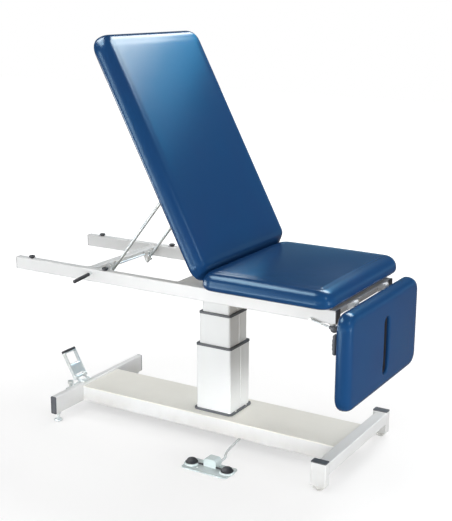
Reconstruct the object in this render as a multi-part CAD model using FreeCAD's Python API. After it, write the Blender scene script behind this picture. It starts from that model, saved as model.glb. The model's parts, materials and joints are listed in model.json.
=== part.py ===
import FreeCAD
import Part
import math
import os

V = FreeCAD.Vector

# Treatment table: a seat, a raising back and a drop section with a face slot, on a telescopic
# lift column and a low base, with an air foot switch beside it.
# Millimetres. +X runs along the table towards the drop section, +Y away from the foot switch,
# +Z up from the floor. The column's axis is x = y = 0 while the pieces are made, and the whole
# table is moved at the end so that the origin is the middle of its footprint on the floor.

# Fits and clearances
running_gap = 0.05
slide_gap = 0.3
soft_gap = 0.3
side_gap = 0.5

# Base
base_clearance = 42.0
base_width = 262.0
base_head_end = -664.0
base_foot_end = 596.0
side_rail_height = 64.0
side_rail_width = 40.0
cover_thickness = 4.0
base_wall = 3.0
tube_corner = 4.0
cover_edge = 2.0
head_beam_thickness = 28.0
head_beam_height = 80.0
head_beam_length = 646.0
head_beam_bottom = 40.0
foot_beam_depth = 50.0
foot_beam_height = 51.0
foot_beam_bottom = 63.0
post_depth = 64.0
post_width = 35.0
post_bottom = 21.0
post_height = 95.0
post_spread = 634.0
base_cap_thickness = 4.0
foot_wheel_radius = 27.0
foot_wheel_width = 25.0
foot_wheel_edge = 4.0
wheel_axle_radius = 3.5
levelling_pad_radius = 18.0
levelling_pad_height = 10.0
levelling_stud_radius = 6.0
levelling_stud_length = 60.0
levelling_inset = 26.0
bolt_head_radius = 6.5
bolt_head_height = 5.0
collar_bolt_radius = 4.5

# Caster pedal at the head beam
pedal_y = -90.5
pedal_arm_spread = 79.0
pedal_arm_thickness = 5.0
pedal_arm_width = 16.0
pedal_arm_length = 118.0
pedal_lean = 30.0
pedal_pivot_outset = 23.0
pedal_pivot_height = 18.0
pedal_shaft_radius = 6.0
pedal_hub_radius = 11.0
pedal_bridge_depth = 18.0
pedal_pad_thickness = 12.0
pedal_pad_depth = 22.0
pedal_pad_round = 4.0
bracket_thickness = 5.0
bracket_ear_spread = 59.0
bracket_bolt_spacing = 20.0
stem_y = -148.0
stem_outset = 33.0
stem_radius = 8.0
stem_cap_radius = 13.0
stem_cap_height = 12.0
stem_guide_height = 11.0
stem_guide_width = 32.0
caster_drop = 22.0
caster_wheel_radius = 25.0
caster_wheel_width = 20.0
caster_rest_height = 24.0
caster_axle_radius = 4.0
fork_plate = 4.0
fork_crown = 8.0

# Lift column: three nested extrusions
column_x = 168.0
column_y = 164.0
column_wall = 5.5
stage_step = 9.0
column_corner = 8.0
column_groove_width = 14.0
column_groove_depth = 1.6
outer_length = 290.0
middle_showing = 131.0
inner_showing = 142.0
gasket_height = 9.0
gasket_lip = 2.0
collar_margin = 10.0
collar_height = 8.0
lift_down = 130.0
lift_up = 71.0
stage_stop = 6.0

# Lift drive
actuator_radius = 38.0
actuator_wall = 5.0
actuator_middle_wall = 6.0
actuator_end_room = 8.0
gearbox_width = 90.0
gearbox_height = 54.0
motor_radius = 27.0
motor_length = 130.0
drive_shaft_radius = 12.0
control_box_x = 90.0
control_box_length = 170.0
control_box_width = 100.0
control_box_height = 78.0
gland_radius = 7.0
gland_length = 10.0
gland_height = 35.0
hose_gland_x = 150.0
mains_gland_x = 220.0

# Top frame
frame_width = 543.0
rail_width = 37.0
rail_height = 54.0
rail_wall = 2.5
rail_head_end = -904.5
rail_foot_end = 646.0
rail_cap_thickness = 3.0
bolster_height = 26.0
bolster_head_end = -76.0
bolster_foot_end = 112.0
cross_tube_depth = 40.0
cross_tube_height = 25.0
cross_tube_recess = 2.0
lock_tube_x = -517.0
end_tube_x = 624.0
bumper_stem_radius = 8.0
bumper_head_radius = 14.0
bumper_stem_height = 4.0
bumper_edge = 3.0
bumper_inset = 18.5
back_bumper_x = (-830.0, -429.0)
seat_bumper_x = (150.0, 590.0)

# Upholstery
table_width = 686.0
board_height_over_rail = 12.0
board_thickness = 12.0
board_inset = 5.0
corner_radius = 60.0
edge_radius = 20.0
lower_edge = 5.0
edge_steps = (30.0, 55.0, 78.0)
side_draw = 4.0
crown_height = 7.0
crown_inset = 130.0
crown_shoulder_share = 0.67
seat_start = 88.0
seat_end = 654.0
seat_foam = 57.0
seat_lead_edge = 34.0
lead_edge_from = 0.3
back_length = 1030.0
back_foam = 62.0
back_bevel = 42.0
drop_length = 377.0
drop_foam = 48.0
drop_corner_radius = 46.0
slot_width = 50.0
slot_start = 88.0
slot_length = 234.0

# Back hinge and lock rods
back_angle = 62.0
back_pivot_x = 80.0
back_pivot_drop = 3.0
back_overhang = 26.0
hinge_pin_radius = 5.0
hinge_ear_thickness = 6.0
back_ear_radius = 9.0
back_knuckle_radius = 8.5
back_arm_y = 140.0
back_arm_width = 24.0
back_arm_thickness = 6.0
back_clevis_reach = 430.0
back_clevis_drop = 45.0
clevis_radius = 10.0
clevis_slot = 16.0
rod_radius = 6.5
rod_tail = 20.0
rod_eye_radius = 9.0
rod_eye_width = 14.0
rod_eye_bore = 4.0
lock_pivot_x = -483.3
lock_pivot_drop = 41.0
lock_radius = 11.0
lock_half_length = 16.0
lock_stub_radius = 5.0
lock_ear_thickness = 5.0
lock_ear_radius = 10.0
release_bar_x = -487.0
release_bar_drop = 17.0
release_bar_radius = 4.0
release_bar_far_end = 165.0
release_bar_pull = 12.0
grip_gap = 8.0
grip_length = 98.0
grip_radius = 8.0
grip_fall = 10.0
grip_round = 3.0
grip_core = 22.0

# Drop section's hinge, lock rod and release lever
drop_gap = 6.0
drop_pivot_inset = 7.5
drop_pivot_drop = 10.5
drop_ear_radius = 9.5
drop_knuckle_radius = 10.0
drop_arm_y = 145.0
drop_arm_width = 22.0
drop_arm_thickness = 8.0
drop_arm_length = 152.0
drop_clevis_reach = 142.0
drop_clevis_drop = 11.5
drop_lock_x = 540.0
drop_lock_drop = 80.0
drop_lever_x = 550.0
drop_lever_drop = 45.0
drop_lever_radius = 5.0
drop_lever_rod_radius = 4.0
drop_lever_outset = 11.0
drop_lever_reach = 98.0
drop_lever_fall = 21.0
knob_radius = 15.0
drop_grip_y = -320.0
drop_grip_width = 30.0
drop_grip_depth = 17.0
drop_grip_length = 81.0
drop_grip_start = 80.0
drop_grip_bulge = 4.0

# Foot switch and its air hose
switch_x = 156.5
switch_y = -365.0
switch_length = 213.0
switch_width = 100.0
switch_corner = 14.0
switch_plate = 5.0
hump_length = 58.0
hump_width = 44.0
hump_height = 40.0
hump_round = 14.0
hump_setback = 4.0
bulb_spacing = 166.0
bulb_seat_radius = 26.0
bulb_seat_wall = 4.0
bulb_seat_height = 9.0
bulb_height = 24.0
bulb_skirt = 7.0
bulb_travel = 6.0
bulb_tube_radius = 3.5
bulb_tube_height = 5.5
hose_radius = 5.0
hose_bend_share = 0.45
hose_boss_radius = 7.0
hose_boss_length = 6.0
hose_start_x = 178.0
hose_start_height = 17.0

# Heights and places that follow from the sizes above
base_top = base_clearance + side_rail_height + cover_thickness
cover_bottom = base_clearance + side_rail_height
outer_top = base_top + outer_length
middle_top = outer_top + gasket_height + middle_showing
inner_top = middle_top + gasket_height + inner_showing
rail_top = inner_top + bolster_height
rail_bottom = rail_top - rail_height
rail_outer = frame_width / 2
rail_inner = rail_outer - rail_width
board_bottom = rail_top + board_height_over_rail
board_top = board_bottom + board_thickness
head_beam_x = base_head_end - head_beam_thickness
head_beam_top = head_beam_bottom + head_beam_height
foot_end = base_foot_end + foot_beam_depth
post_middle_x = foot_end - post_depth / 2
post_inner = post_spread / 2 - post_width
back_pivot = V(back_pivot_x, 0, board_bottom - back_pivot_drop)
back_end = back_pivot_x - back_overhang
drop_start = seat_end + drop_gap
drop_hang = 90.0
drop_pivot = V(drop_start + drop_pivot_inset, 0, board_bottom - drop_pivot_drop)
lock_pivot = V(lock_pivot_x, 0, rail_top - lock_pivot_drop)
drop_lock_pivot = V(drop_lock_x, 0, rail_top - drop_lock_drop)
tube_top = rail_top - cross_tube_recess
tube_bottom = tube_top - cross_tube_height
lock_tube_face = lock_tube_x + cross_tube_depth / 2
release_bar_z = rail_top - release_bar_drop
drop_lever_axis = V(drop_lever_x, 0, rail_top - drop_lever_drop)
pedal_pivot = V(head_beam_x - pedal_pivot_outset, pedal_y, head_beam_top + pedal_pivot_height)
stem_x = head_beam_x - stem_outset
caster_axle_z = caster_rest_height + caster_wheel_radius
hump_y = switch_y + switch_width / 2 - hump_setback - hump_width / 2

# The air hose's route from the foot switch to the gland under the base, as chosen points
hose_route = [
    (hose_start_x, hump_y + hump_width / 2 + hose_boss_length, hose_start_height),
    (hose_start_x, -287.0, hose_start_height),
    (170.0, -262.0, 11.5),
    (156.0, -238.0, 9.0),
    (143.0, -206.0, 8.0),
    (137.0, -170.0, 9.5),
    (139.0, -134.0, 17.0),
    (145.0, -108.0, 28.5),
    (hose_gland_x, -84.0, gland_height),
    (hose_gland_x, -control_box_width / 2 - gland_length, gland_height),
]


# Simple solids
def box(x0, x1, y0, y1, z0, z1):
    """Block between two corners."""
    return Part.makeBox(x1 - x0, y1 - y0, z1 - z0, V(x0, y0, z0))


def along_x(x0, x1, y, z, radius):
    """Round bar along X."""
    return Part.makeCylinder(radius, x1 - x0, V(x0, y, z), V(1, 0, 0))


def along_y(x, z, y0, y1, radius):
    """Round bar along Y."""
    return Part.makeCylinder(radius, y1 - y0, V(x, y0, z), V(0, 1, 0))


def along_z(x, y, z0, z1, radius):
    """Round bar along Z."""
    return Part.makeCylinder(radius, z1 - z0, V(x, y, z0), V(0, 0, 1))


def bar_between(start, end, radius):
    """Round bar from one point to another."""
    run = end.sub(start)
    return Part.makeCylinder(radius, run.Length, start, run)


def plate_xz(points, y0, y1):
    """Plate with an outline in the XZ plane, thick from y0 to y1."""
    corners = [V(x, y0, z) for x, z in points]
    outline = Part.makePolygon(corners + corners[:1])
    return Part.Face(outline).extrude(V(0, y1 - y0, 0))


def rounded_block(x0, x1, y0, y1, z0, z1, radius, axis="Z"):
    """Block with its four edges along one axis rounded."""
    block = box(x0, x1, y0, y1, z0, z1)
    along = [e for e in block.Edges if getattr(e.BoundBox, axis + "Length") > running_gap]
    return block.makeFillet(radius, along)


def joined(shapes):
    """Several solids grown into one."""
    return shapes[0].multiFuse(shapes[1:]).removeSplitter()


def group(shapes):
    """Separate solids that share one name."""
    return Part.makeCompound(shapes)


def mirrored_y(shape):
    """The same piece on the other side of the table."""
    return shape.mirror(V(0, 0, 0), V(0, 1, 0))


def square_tube(x0, x1, y0, y1, z0, z1, wall, axis):
    """Hollow section with rounded corners, open at both ends along the axis X, Y or Z."""
    ix, iy, iz = [0 if name == axis else wall for name in "XYZ"]
    outer = rounded_block(x0, x1, y0, y1, z0, z1, tube_corner, axis)
    inner = rounded_block(
        x0 + ix, x1 - ix, y0 + iy, y1 - iy, z0 + iz, z1 - iz, tube_corner - wall, axis)
    return outer.cut(inner)


# Base
def base_side_rail(side):
    """Long hollow rail between the two cross beams."""
    outer = base_width / 2
    inner = outer - side_rail_width
    wall = base_wall
    rail = box(base_head_end, base_foot_end, inner, outer, base_clearance, cover_bottom)
    lower = [e for e in rail.Edges if e.BoundBox.ZMax < cover_bottom and e.BoundBox.XLength > wall]
    rail = rail.makeFillet(tube_corner, lower)
    hollow = box(
        base_head_end, base_foot_end, inner + wall, outer - wall, base_clearance + wall, cover_bottom - wall)
    rail = rail.cut(hollow)
    return rail if side > 0 else mirrored_y(rail)


def base_cover_plate():
    """Flat top of the base, with a hole for the drive shaft."""
    half = base_width / 2
    plate = box(base_head_end, base_foot_end, -half, half, cover_bottom, base_top)
    upper = [e for e in plate.Edges if e.BoundBox.ZMin > cover_bottom and e.BoundBox.XLength > half]
    plate = plate.makeFillet(cover_edge, upper)
    hole = along_z(0, 0, cover_bottom, base_top, drive_shaft_radius + side_gap)
    return plate.cut(hole)


def levelling_places():
    """X and Y of the two levelling feet."""
    reach = head_beam_length / 2 - levelling_inset
    middle = head_beam_x + head_beam_thickness / 2
    return [(middle, -reach), (middle, reach)]


def head_beam():
    """Cross beam at the head end, with a tapped hole for each levelling foot."""
    half = head_beam_length / 2
    beam = square_tube(
        head_beam_x, base_head_end, -half, half, head_beam_bottom, head_beam_top, base_wall, "Y")
    for x, y in levelling_places():
        wall_top = head_beam_bottom + base_wall
        hole = along_z(x, y, head_beam_bottom, wall_top, levelling_stud_radius + running_gap)
        beam = beam.cut(hole)
    return beam


def levelling_feet():
    """Round pads on threaded studs under the head beam."""
    feet = []
    for x, y in levelling_places():
        pad = along_z(x, y, 0, levelling_pad_height, levelling_pad_radius)
        stud_top = levelling_pad_height + levelling_stud_length
        stud = along_z(x, y, levelling_pad_height, stud_top, levelling_stud_radius)
        feet.append(joined([pad, stud]))
    return group(feet)


def foot_beam():
    """Cross beam between the two foot posts."""
    return square_tube(
        base_foot_end, foot_end, -post_inner, post_inner,
        foot_beam_bottom, foot_beam_bottom + foot_beam_height, base_wall, "Y")


def foot_post(side):
    """Upright hollow post with a wheel in its open lower end."""
    outer = post_spread / 2
    post = square_tube(
        foot_end - post_depth, foot_end, post_inner, outer,
        post_bottom, post_bottom + post_height, base_wall, "Z")
    post = post.cut(along_y(post_middle_x, foot_wheel_radius, post_inner, outer, wheel_axle_radius))
    return post if side > 0 else mirrored_y(post)


def foot_wheel(side):
    """Nylon wheel with rounded edges."""
    middle = side * (post_spread - post_width) / 2
    half = foot_wheel_width / 2
    wheel = along_y(post_middle_x, foot_wheel_radius, middle - half, middle + half, foot_wheel_radius)
    wheel = wheel.makeFillet(foot_wheel_edge, [e for e in wheel.Edges if e.Closed])
    bore = along_y(
        post_middle_x, foot_wheel_radius, middle - half, middle + half, wheel_axle_radius + running_gap)
    return wheel.cut(bore)


def base_end_caps():
    """Dark covers on the head beam's ends and on the posts' tops."""
    half = head_beam_length / 2
    beam_cap = rounded_block(
        head_beam_x, base_head_end, half, half + base_cap_thickness,
        head_beam_bottom, head_beam_top, tube_corner, "Y")
    top = post_bottom + post_height
    post_cap = rounded_block(
        foot_end - post_depth, foot_end, post_inner, post_spread / 2,
        top, top + base_cap_thickness, tube_corner)
    caps = [beam_cap, post_cap]
    return group(caps + [mirrored_y(cap) for cap in caps])


def axle_shafts():
    """Axles of the two foot wheels and the pivot shaft of the caster pedal."""
    wheel_axle = along_y(
        post_middle_x, foot_wheel_radius, post_inner, post_spread / 2, wheel_axle_radius)
    reach = pedal_arm_spread / 2
    pivot = along_y(
        pedal_pivot.x, pedal_pivot.z, pedal_y - reach, pedal_y + reach, pedal_shaft_radius)
    return group([wheel_axle, mirrored_y(wheel_axle), pivot])


def hex_head(x, y, z, radius):
    """Six-sided bolt head standing on a face."""
    corners = [
        V(x + radius * math.cos(turn), y + radius * math.sin(turn), z)
        for turn in [math.radians(60 * k) for k in range(6)]]
    outline = Part.makePolygon(corners + corners[:1])
    return Part.Face(outline).extrude(V(0, 0, bolt_head_height))


def base_bolts():
    """Bolt heads on the caster bracket and on the column's collar."""
    heads = []
    plate_top = head_beam_top + bracket_thickness
    for step in (-0.5, 0.5):
        middle = head_beam_x + head_beam_thickness / 2
        y = pedal_y + step * bracket_bolt_spacing
        heads.append(hex_head(middle, y, plate_top, bolt_head_radius))
    for sx in (-1, 1):
        for sy in (-1, 1):
            x = sx * (column_x + collar_margin) / 2
            y = sy * (column_y + collar_margin) / 4
            heads.append(hex_head(x, y, base_top + collar_height, collar_bolt_radius))
    return group(heads)


# Caster pedal
def caster_bracket():
    """Angle plate on the head beam, with two ears for the pedal and a guide for the caster's stem."""
    face = head_beam_x - bracket_thickness
    plate_top = head_beam_top + bracket_thickness
    ear_reach = bracket_ear_spread / 2
    guide_half = stem_guide_width / 2
    guide_bottom = caster_axle_z + caster_wheel_radius + side_gap + fork_crown + side_gap
    near_end = stem_y - guide_half
    far_end = pedal_y + ear_reach
    pieces = [
        box(face, base_head_end, pedal_y - ear_reach, far_end, head_beam_top, plate_top),
        box(face, head_beam_x, near_end, far_end, guide_bottom, plate_top),
        box(stem_x - guide_half, head_beam_x, near_end, stem_y + guide_half,
            guide_bottom, guide_bottom + stem_guide_height),
    ]
    ear = pedal_hub_radius + side_gap
    outline = [
        (pedal_pivot.x - ear, pedal_pivot.z), (face, head_beam_top),
        (base_head_end, head_beam_top), (pedal_pivot.x + ear, pedal_pivot.z)]
    for side in (-1, 1):
        y0 = pedal_y + side * (ear_reach - bracket_thickness / 2) - bracket_thickness / 2
        pieces.append(plate_xz(outline, y0, y0 + bracket_thickness))
        pieces.append(along_y(pedal_pivot.x, pedal_pivot.z, y0, y0 + bracket_thickness, ear))
    bracket = joined(pieces)
    shaft_hole = along_y(pedal_pivot.x, pedal_pivot.z, pedal_y - ear_reach, far_end, pedal_shaft_radius)
    stem_hole = along_z(
        stem_x, stem_y, guide_bottom, guide_bottom + stem_guide_height, stem_radius + running_gap)
    return bracket.cut(shaft_hole).cut(stem_hole)


def leaning(shape):
    """Turns an upright pedal piece outwards about the pedal's pivot."""
    shape.rotate(pedal_pivot, V(0, 1, 0), -pedal_lean)
    return shape


def caster_lever():
    """Stirrup of two arms on the pivot shaft, joined by a bridge under the pad."""
    x, z = pedal_pivot.x, pedal_pivot.z
    reach = pedal_arm_spread / 2
    top = z + pedal_arm_length
    pieces = []
    for side in (-1, 1):
        y0 = pedal_y + side * (reach - pedal_arm_thickness / 2) - pedal_arm_thickness / 2
        half = pedal_arm_width / 2
        pieces.append(box(x - half, x + half, y0, y0 + pedal_arm_thickness, z, top))
        pieces.append(along_y(x, z, y0, y0 + pedal_arm_thickness, pedal_hub_radius))
    half = pedal_bridge_depth / 2
    pieces.append(box(x - half, x + half, pedal_y - reach, pedal_y + reach, top, top + pedal_arm_thickness))
    lever = joined(pieces)
    hole = along_y(x, z, pedal_y - reach, pedal_y + reach, pedal_shaft_radius + running_gap)
    return leaning(lever.cut(hole))


def caster_pad():
    """Rubber pad on the stirrup's bridge."""
    x = pedal_pivot.x
    half = pedal_pad_depth / 2
    reach = pedal_arm_spread / 2
    bottom = pedal_pivot.z + pedal_arm_length + pedal_arm_thickness
    pad = box(x - half, x + half, pedal_y - reach, pedal_y + reach, bottom, bottom + pedal_pad_thickness)
    upper = [e for e in pad.Edges if e.BoundBox.ZMin > bottom + side_gap]
    return leaning(pad.makeFillet(pedal_pad_round, upper))


def caster_fork():
    """Capped stem that slides down in its guide, with a fork and its axle below."""
    crown_bottom = caster_axle_z + caster_wheel_radius + side_gap
    crown_top = crown_bottom + fork_crown
    guide_top = crown_top + side_gap + stem_guide_height
    cap_bottom = guide_top + caster_drop + side_gap
    half = caster_wheel_width / 2 + side_gap
    leg = caster_axle_radius + fork_plate
    pieces = [
        along_z(stem_x, stem_y, crown_top, cap_bottom, stem_radius),
        along_z(stem_x, stem_y, cap_bottom, cap_bottom + stem_cap_height, stem_cap_radius),
        box(stem_x - leg, stem_x + leg, stem_y - half - fork_plate, stem_y + half + fork_plate,
            crown_bottom, crown_top),
        along_y(stem_x, caster_axle_z, stem_y - half, stem_y + half, caster_axle_radius),
    ]
    for side in (-1, 1):
        y0 = stem_y + side * (half + fork_plate / 2) - fork_plate / 2
        pieces.append(box(stem_x - leg, stem_x + leg, y0, y0 + fork_plate, caster_axle_z, crown_bottom))
        pieces.append(along_y(stem_x, caster_axle_z, y0, y0 + fork_plate, leg))
    return joined(pieces)


def caster_wheel():
    """Rubber wheel on the fork's axle."""
    half = caster_wheel_width / 2
    wheel = along_y(stem_x, caster_axle_z, stem_y - half, stem_y + half, caster_wheel_radius)
    wheel = wheel.makeFillet(foot_wheel_edge, [e for e in wheel.Edges if e.Closed])
    bore = along_y(stem_x, caster_axle_z, stem_y - half, stem_y + half, caster_axle_radius + running_gap)
    return wheel.cut(bore)


# Lift column
def column_stage(stage, bottom, top):
    """One extrusion of the column with a shallow groove down its two end faces."""
    hx = column_x / 2 - stage * stage_step
    hy = column_y / 2 - stage * stage_step
    outer = rounded_block(-hx, hx, -hy, hy, bottom, top, column_corner)
    inner_corner = column_corner - column_wall
    inner = rounded_block(
        column_wall - hx, hx - column_wall, column_wall - hy, hy - column_wall, bottom, top, inner_corner)
    tube = outer.cut(inner)
    half = column_groove_width / 2
    for side in (-1, 1):
        x0 = side * (hx - column_groove_depth / 2) - column_groove_depth / 2
        tube = tube.cut(box(x0, x0 + column_groove_depth, -half, half, bottom, top))
    return tube


def column_outer():
    return column_stage(0, base_top, outer_top)


def column_middle():
    return column_stage(1, base_top + lift_down + stage_stop, middle_top)


def column_inner():
    return column_stage(2, base_top + 2 * (lift_down + stage_stop), inner_top)


def column_gasket(stage, bottom):
    """Dark ring on top of one stage that guides the next."""
    hx = column_x / 2 - stage * stage_step + gasket_lip
    hy = column_y / 2 - stage * stage_step + gasket_lip
    ring = rounded_block(-hx, hx, -hy, hy, bottom, bottom + gasket_height, column_corner + gasket_lip)
    ox = column_x / 2 - (stage + 1) * stage_step + slide_gap
    oy = column_y / 2 - (stage + 1) * stage_step + slide_gap
    return ring.cut(rounded_block(-ox, ox, -oy, oy, bottom, bottom + gasket_height, column_corner))


def column_base_collar():
    """Flange round the foot of the column."""
    hx = column_x / 2
    hy = column_y / 2
    m = collar_margin
    top = base_top + collar_height
    collar = rounded_block(-hx - m, hx + m, -hy - m, hy + m, base_top, top, column_corner + m)
    return collar.cut(rounded_block(-hx, hx, -hy, hy, base_top, top, column_corner))


def round_tube(radius, wall, bottom, top):
    """Upright round tube on the column's axis."""
    return along_z(0, 0, bottom, top, radius).cut(along_z(0, 0, bottom, top, radius - wall))


def lift_actuator_tube():
    return round_tube(actuator_radius, actuator_wall, base_top, outer_top - actuator_end_room)


def lift_middle_tube():
    radius = actuator_radius - actuator_wall - running_gap
    bottom = base_top + lift_down + stage_stop
    return round_tube(radius, actuator_middle_wall, bottom, middle_top - actuator_end_room)


def lift_rod():
    radius = actuator_radius - actuator_wall - actuator_middle_wall - 2 * running_gap
    return along_z(0, 0, base_top + 2 * (lift_down + stage_stop), inner_top, radius)


def lift_gearmotor():
    """Gearbox and motor hung under the cover plate, with the drive shaft through it."""
    half = gearbox_width / 2
    bottom = cover_bottom - gearbox_height
    middle = bottom + motor_radius
    return joined([
        box(-half, half, -half, half, bottom, cover_bottom),
        along_x(-half - motor_length, -half, 0, middle, motor_radius),
        along_z(0, 0, cover_bottom, base_top + stage_stop / 2, drive_shaft_radius)])


def control_box():
    """Control housing under the cover plate, with a gland for the air hose and one for a mains cord."""
    half = control_box_width / 2
    end = control_box_x + control_box_length
    housing = box(control_box_x, end, -half, half, cover_bottom - control_box_height, cover_bottom)
    hose_gland = along_y(hose_gland_x, gland_height, -half - gland_length, -half, gland_radius)
    mains_gland = along_y(mains_gland_x, gland_height, half, half + gland_length, gland_radius)
    return joined([housing, hose_gland, mains_gland])


# Top frame
def frame_rail(side):
    """Long hollow rail under the sections. The near one has holes for the two release shafts."""
    rail = square_tube(
        rail_head_end, rail_foot_end, rail_inner, rail_outer, rail_bottom, rail_top, rail_wall, "X")
    if side > 0:
        return rail
    rail = mirrored_y(rail)
    for x, z, radius in (
            (release_bar_x, release_bar_z, release_bar_radius),
            (drop_lever_axis.x, drop_lever_axis.z, drop_lever_radius)):
        rail = rail.cut(along_y(x, z, -rail_outer, -rail_inner, radius + running_gap))
    return rail


def frame_rail_caps():
    """Dark plugs on the four rail ends."""
    caps = []
    for x0 in (rail_head_end - rail_cap_thickness, rail_foot_end):
        x1 = x0 + rail_cap_thickness
        caps.append(rounded_block(x0, x1, rail_inner, rail_outer, rail_bottom, rail_top, tube_corner, "X"))
    return group(caps + [mirrored_y(cap) for cap in caps])


def column_bolster():
    """Wide flat section on the column's head that carries both rails."""
    return square_tube(
        bolster_head_end, bolster_foot_end, -rail_inner, rail_inner, inner_top, rail_top, base_wall, "Y")


def frame_cross_tubes():
    """Cross tubes at the back's locks and at the drop section's hinge."""
    half = cross_tube_depth / 2
    return group([
        square_tube(x - half, x + half, -rail_inner, rail_inner, tube_bottom, tube_top, rail_wall, "Y")
        for x in (lock_tube_x, end_tube_x)])


def rail_bumpers():
    """Mushroom-shaped rubber rests on the rails, under the back and under the seat."""
    y = rail_outer - bumper_inset
    head_bottom = rail_top + bumper_stem_height
    head_top = board_bottom - soft_gap
    bumpers = []
    for x in back_bumper_x + seat_bumper_x:
        head = along_z(x, y, head_bottom, head_top, bumper_head_radius)
        head = head.makeFillet(bumper_edge, [e for e in head.Edges if e.Closed])
        stem = along_z(x, y, rail_top, head_bottom + bumper_edge, bumper_stem_radius)
        bumpers.append(joined([head, stem]))
    return group(bumpers + [mirrored_y(one) for one in bumpers])


# Upholstery
def outline_wire(x0, x1, half_width, z, radius, draw):
    """Rounded outline of a cushion at one height, with each side drawn in by a shallow arc."""
    y0 = -half_width
    y1 = half_width
    k = radius * (1 - math.sqrt(0.5))
    xm = (x0 + x1) / 2
    points = [
        (x0 + radius, y0), (xm, y0 + draw), (x1 - radius, y0), (x1 - k, y0 + k),
        (x1, y0 + radius), (x1 - draw, 0), (x1, y1 - radius), (x1 - k, y1 - k),
        (x1 - radius, y1), (xm, y1 - draw), (x0 + radius, y1), (x0 + k, y1 - k),
        (x0, y1 - radius), (x0 + draw, 0), (x0, y0 + radius), (x0 + k, y0 + k)]
    places = [V(x, y, z) for x, y in points]
    arcs = []
    for i in range(0, len(places), 2):
        last = places[(i + 2) % len(places)]
        arcs.append(Part.Arc(places[i], places[i + 1], last).toShape())
    return Part.Wire(arcs)


def cushion_levels(foam):
    """Height and inset of the cushion's outlines, from the board up over the edge to the crown."""
    shoulder = foam - crown_height
    levels = [(0, lower_edge / 2), (lower_edge, 0), (shoulder - edge_radius, 0)]
    for degrees in edge_steps:
        turn = math.radians(degrees)
        levels.append((
            shoulder - edge_radius + edge_radius * math.sin(turn), edge_radius * (1 - math.cos(turn))))
    levels.append((shoulder + crown_height * crown_shoulder_share, crown_inset / 2))
    levels.append((foam, crown_inset))
    return levels


def cushion(x0, x1, foam, radius, start_edge=0.0, end_bevel=0.0):
    """Crowned cushion on its board. An end can have a larger upper edge or lean back by a bevel."""
    wires = []
    for height, inset in cushion_levels(foam):
        rise = height / foam
        start = x0 + inset + start_edge * max(0.0, rise - lead_edge_from) ** 2
        end = x1 - inset - end_bevel * rise
        half = table_width / 2 - inset
        corner = max(radius - inset, edge_radius)
        wires.append(outline_wire(start, end, half, board_top + height, corner, side_draw))
    return Part.makeLoft(wires, True, True)


def board(x0, x1, radius):
    """Plywood board under a cushion."""
    half = table_width / 2 - board_inset
    return rounded_block(
        x0 + board_inset, x1 - board_inset, -half, half, board_bottom, board_top, radius - board_inset)


def seat_board():
    return board(seat_start, seat_end, corner_radius)


def seat_cushion():
    return cushion(seat_start, seat_end, seat_foam, corner_radius, start_edge=seat_lead_edge)


def raised(shape):
    """Turns a piece of the flat back up to its raised position."""
    shape.rotate(back_pivot, V(0, 1, 0), back_angle)
    return shape


def back_board():
    return raised(board(back_end - back_length, back_end, corner_radius))


def back_cushion():
    return raised(cushion(
        back_end - back_length, back_end, back_foam, corner_radius, end_bevel=back_bevel))


def hanging(shape):
    """Turns a piece of the flat drop section down to its hanging position."""
    shape.rotate(drop_pivot, V(0, 1, 0), drop_hang)
    return shape


def face_slot():
    """Long opening through the drop section, round at both ends."""
    half = slot_width / 2
    x0 = drop_start + slot_start + half
    x1 = drop_start + slot_start + slot_length - half
    top = board_top + drop_foam
    return joined([
        box(x0, x1, -half, half, board_bottom, top),
        along_z(x0, 0, board_bottom, top, half),
        along_z(x1, 0, board_bottom, top, half)])


def drop_board():
    return hanging(board(drop_start, drop_start + drop_length, drop_corner_radius).cut(face_slot()))


def drop_cushion():
    pad = cushion(drop_start, drop_start + drop_length, drop_foam, drop_corner_radius)
    return hanging(pad.cut(face_slot()))


# Hinges
def ear_pair(outline, centre, radius, middle_y, arm_width, thickness, hole_radius):
    """Two upright ears either side of an arm, with a hole on the pivot."""
    ears = []
    for side in (-1, 1):
        inner = middle_y + side * (arm_width / 2 + side_gap)
        y0 = min(inner, inner + side * thickness)
        ear = plate_xz(outline, y0, y0 + thickness)
        ear = joined([ear, along_y(centre.x, centre.z, y0, y0 + thickness, radius)])
        ears.append(ear.cut(along_y(centre.x, centre.z, y0, y0 + thickness, hole_radius)))
    return ears


def hinge_ears():
    """Ears of the back's hinge on the bolster and of the drop section's hinge on the end tube."""
    r = back_ear_radius
    x, z = back_pivot.x, back_pivot.z
    back_outline = [(x - r, rail_top), (x + r, rail_top), (x + r, z), (x - r, z)]
    ears = []
    for side in (-1, 1):
        ears += ear_pair(
            back_outline, back_pivot, r, side * back_arm_y, back_arm_width,
            hinge_ear_thickness, hinge_pin_radius)
    r = drop_ear_radius
    face = end_tube_x + cross_tube_depth / 2
    x, z = drop_pivot.x, drop_pivot.z
    drop_outline = [(face, tube_bottom), (x, z - r), (x, z + r), (face, tube_top)]
    for side in (-1, 1):
        ears += ear_pair(
            drop_outline, drop_pivot, r, side * drop_arm_y, drop_arm_width,
            hinge_ear_thickness, hinge_pin_radius)
    return group(ears)


def hinge_pins():
    """Pins fixed in the ears of both hinges."""
    pins = []
    for pivot, middle, width in (
            (back_pivot, back_arm_y, back_arm_width), (drop_pivot, drop_arm_y, drop_arm_width)):
        half = width / 2 + side_gap + hinge_ear_thickness
        pin = along_y(pivot.x, pivot.z, middle - half, middle + half, hinge_pin_radius)
        pins += [pin, mirrored_y(pin)]
    return group(pins)


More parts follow.
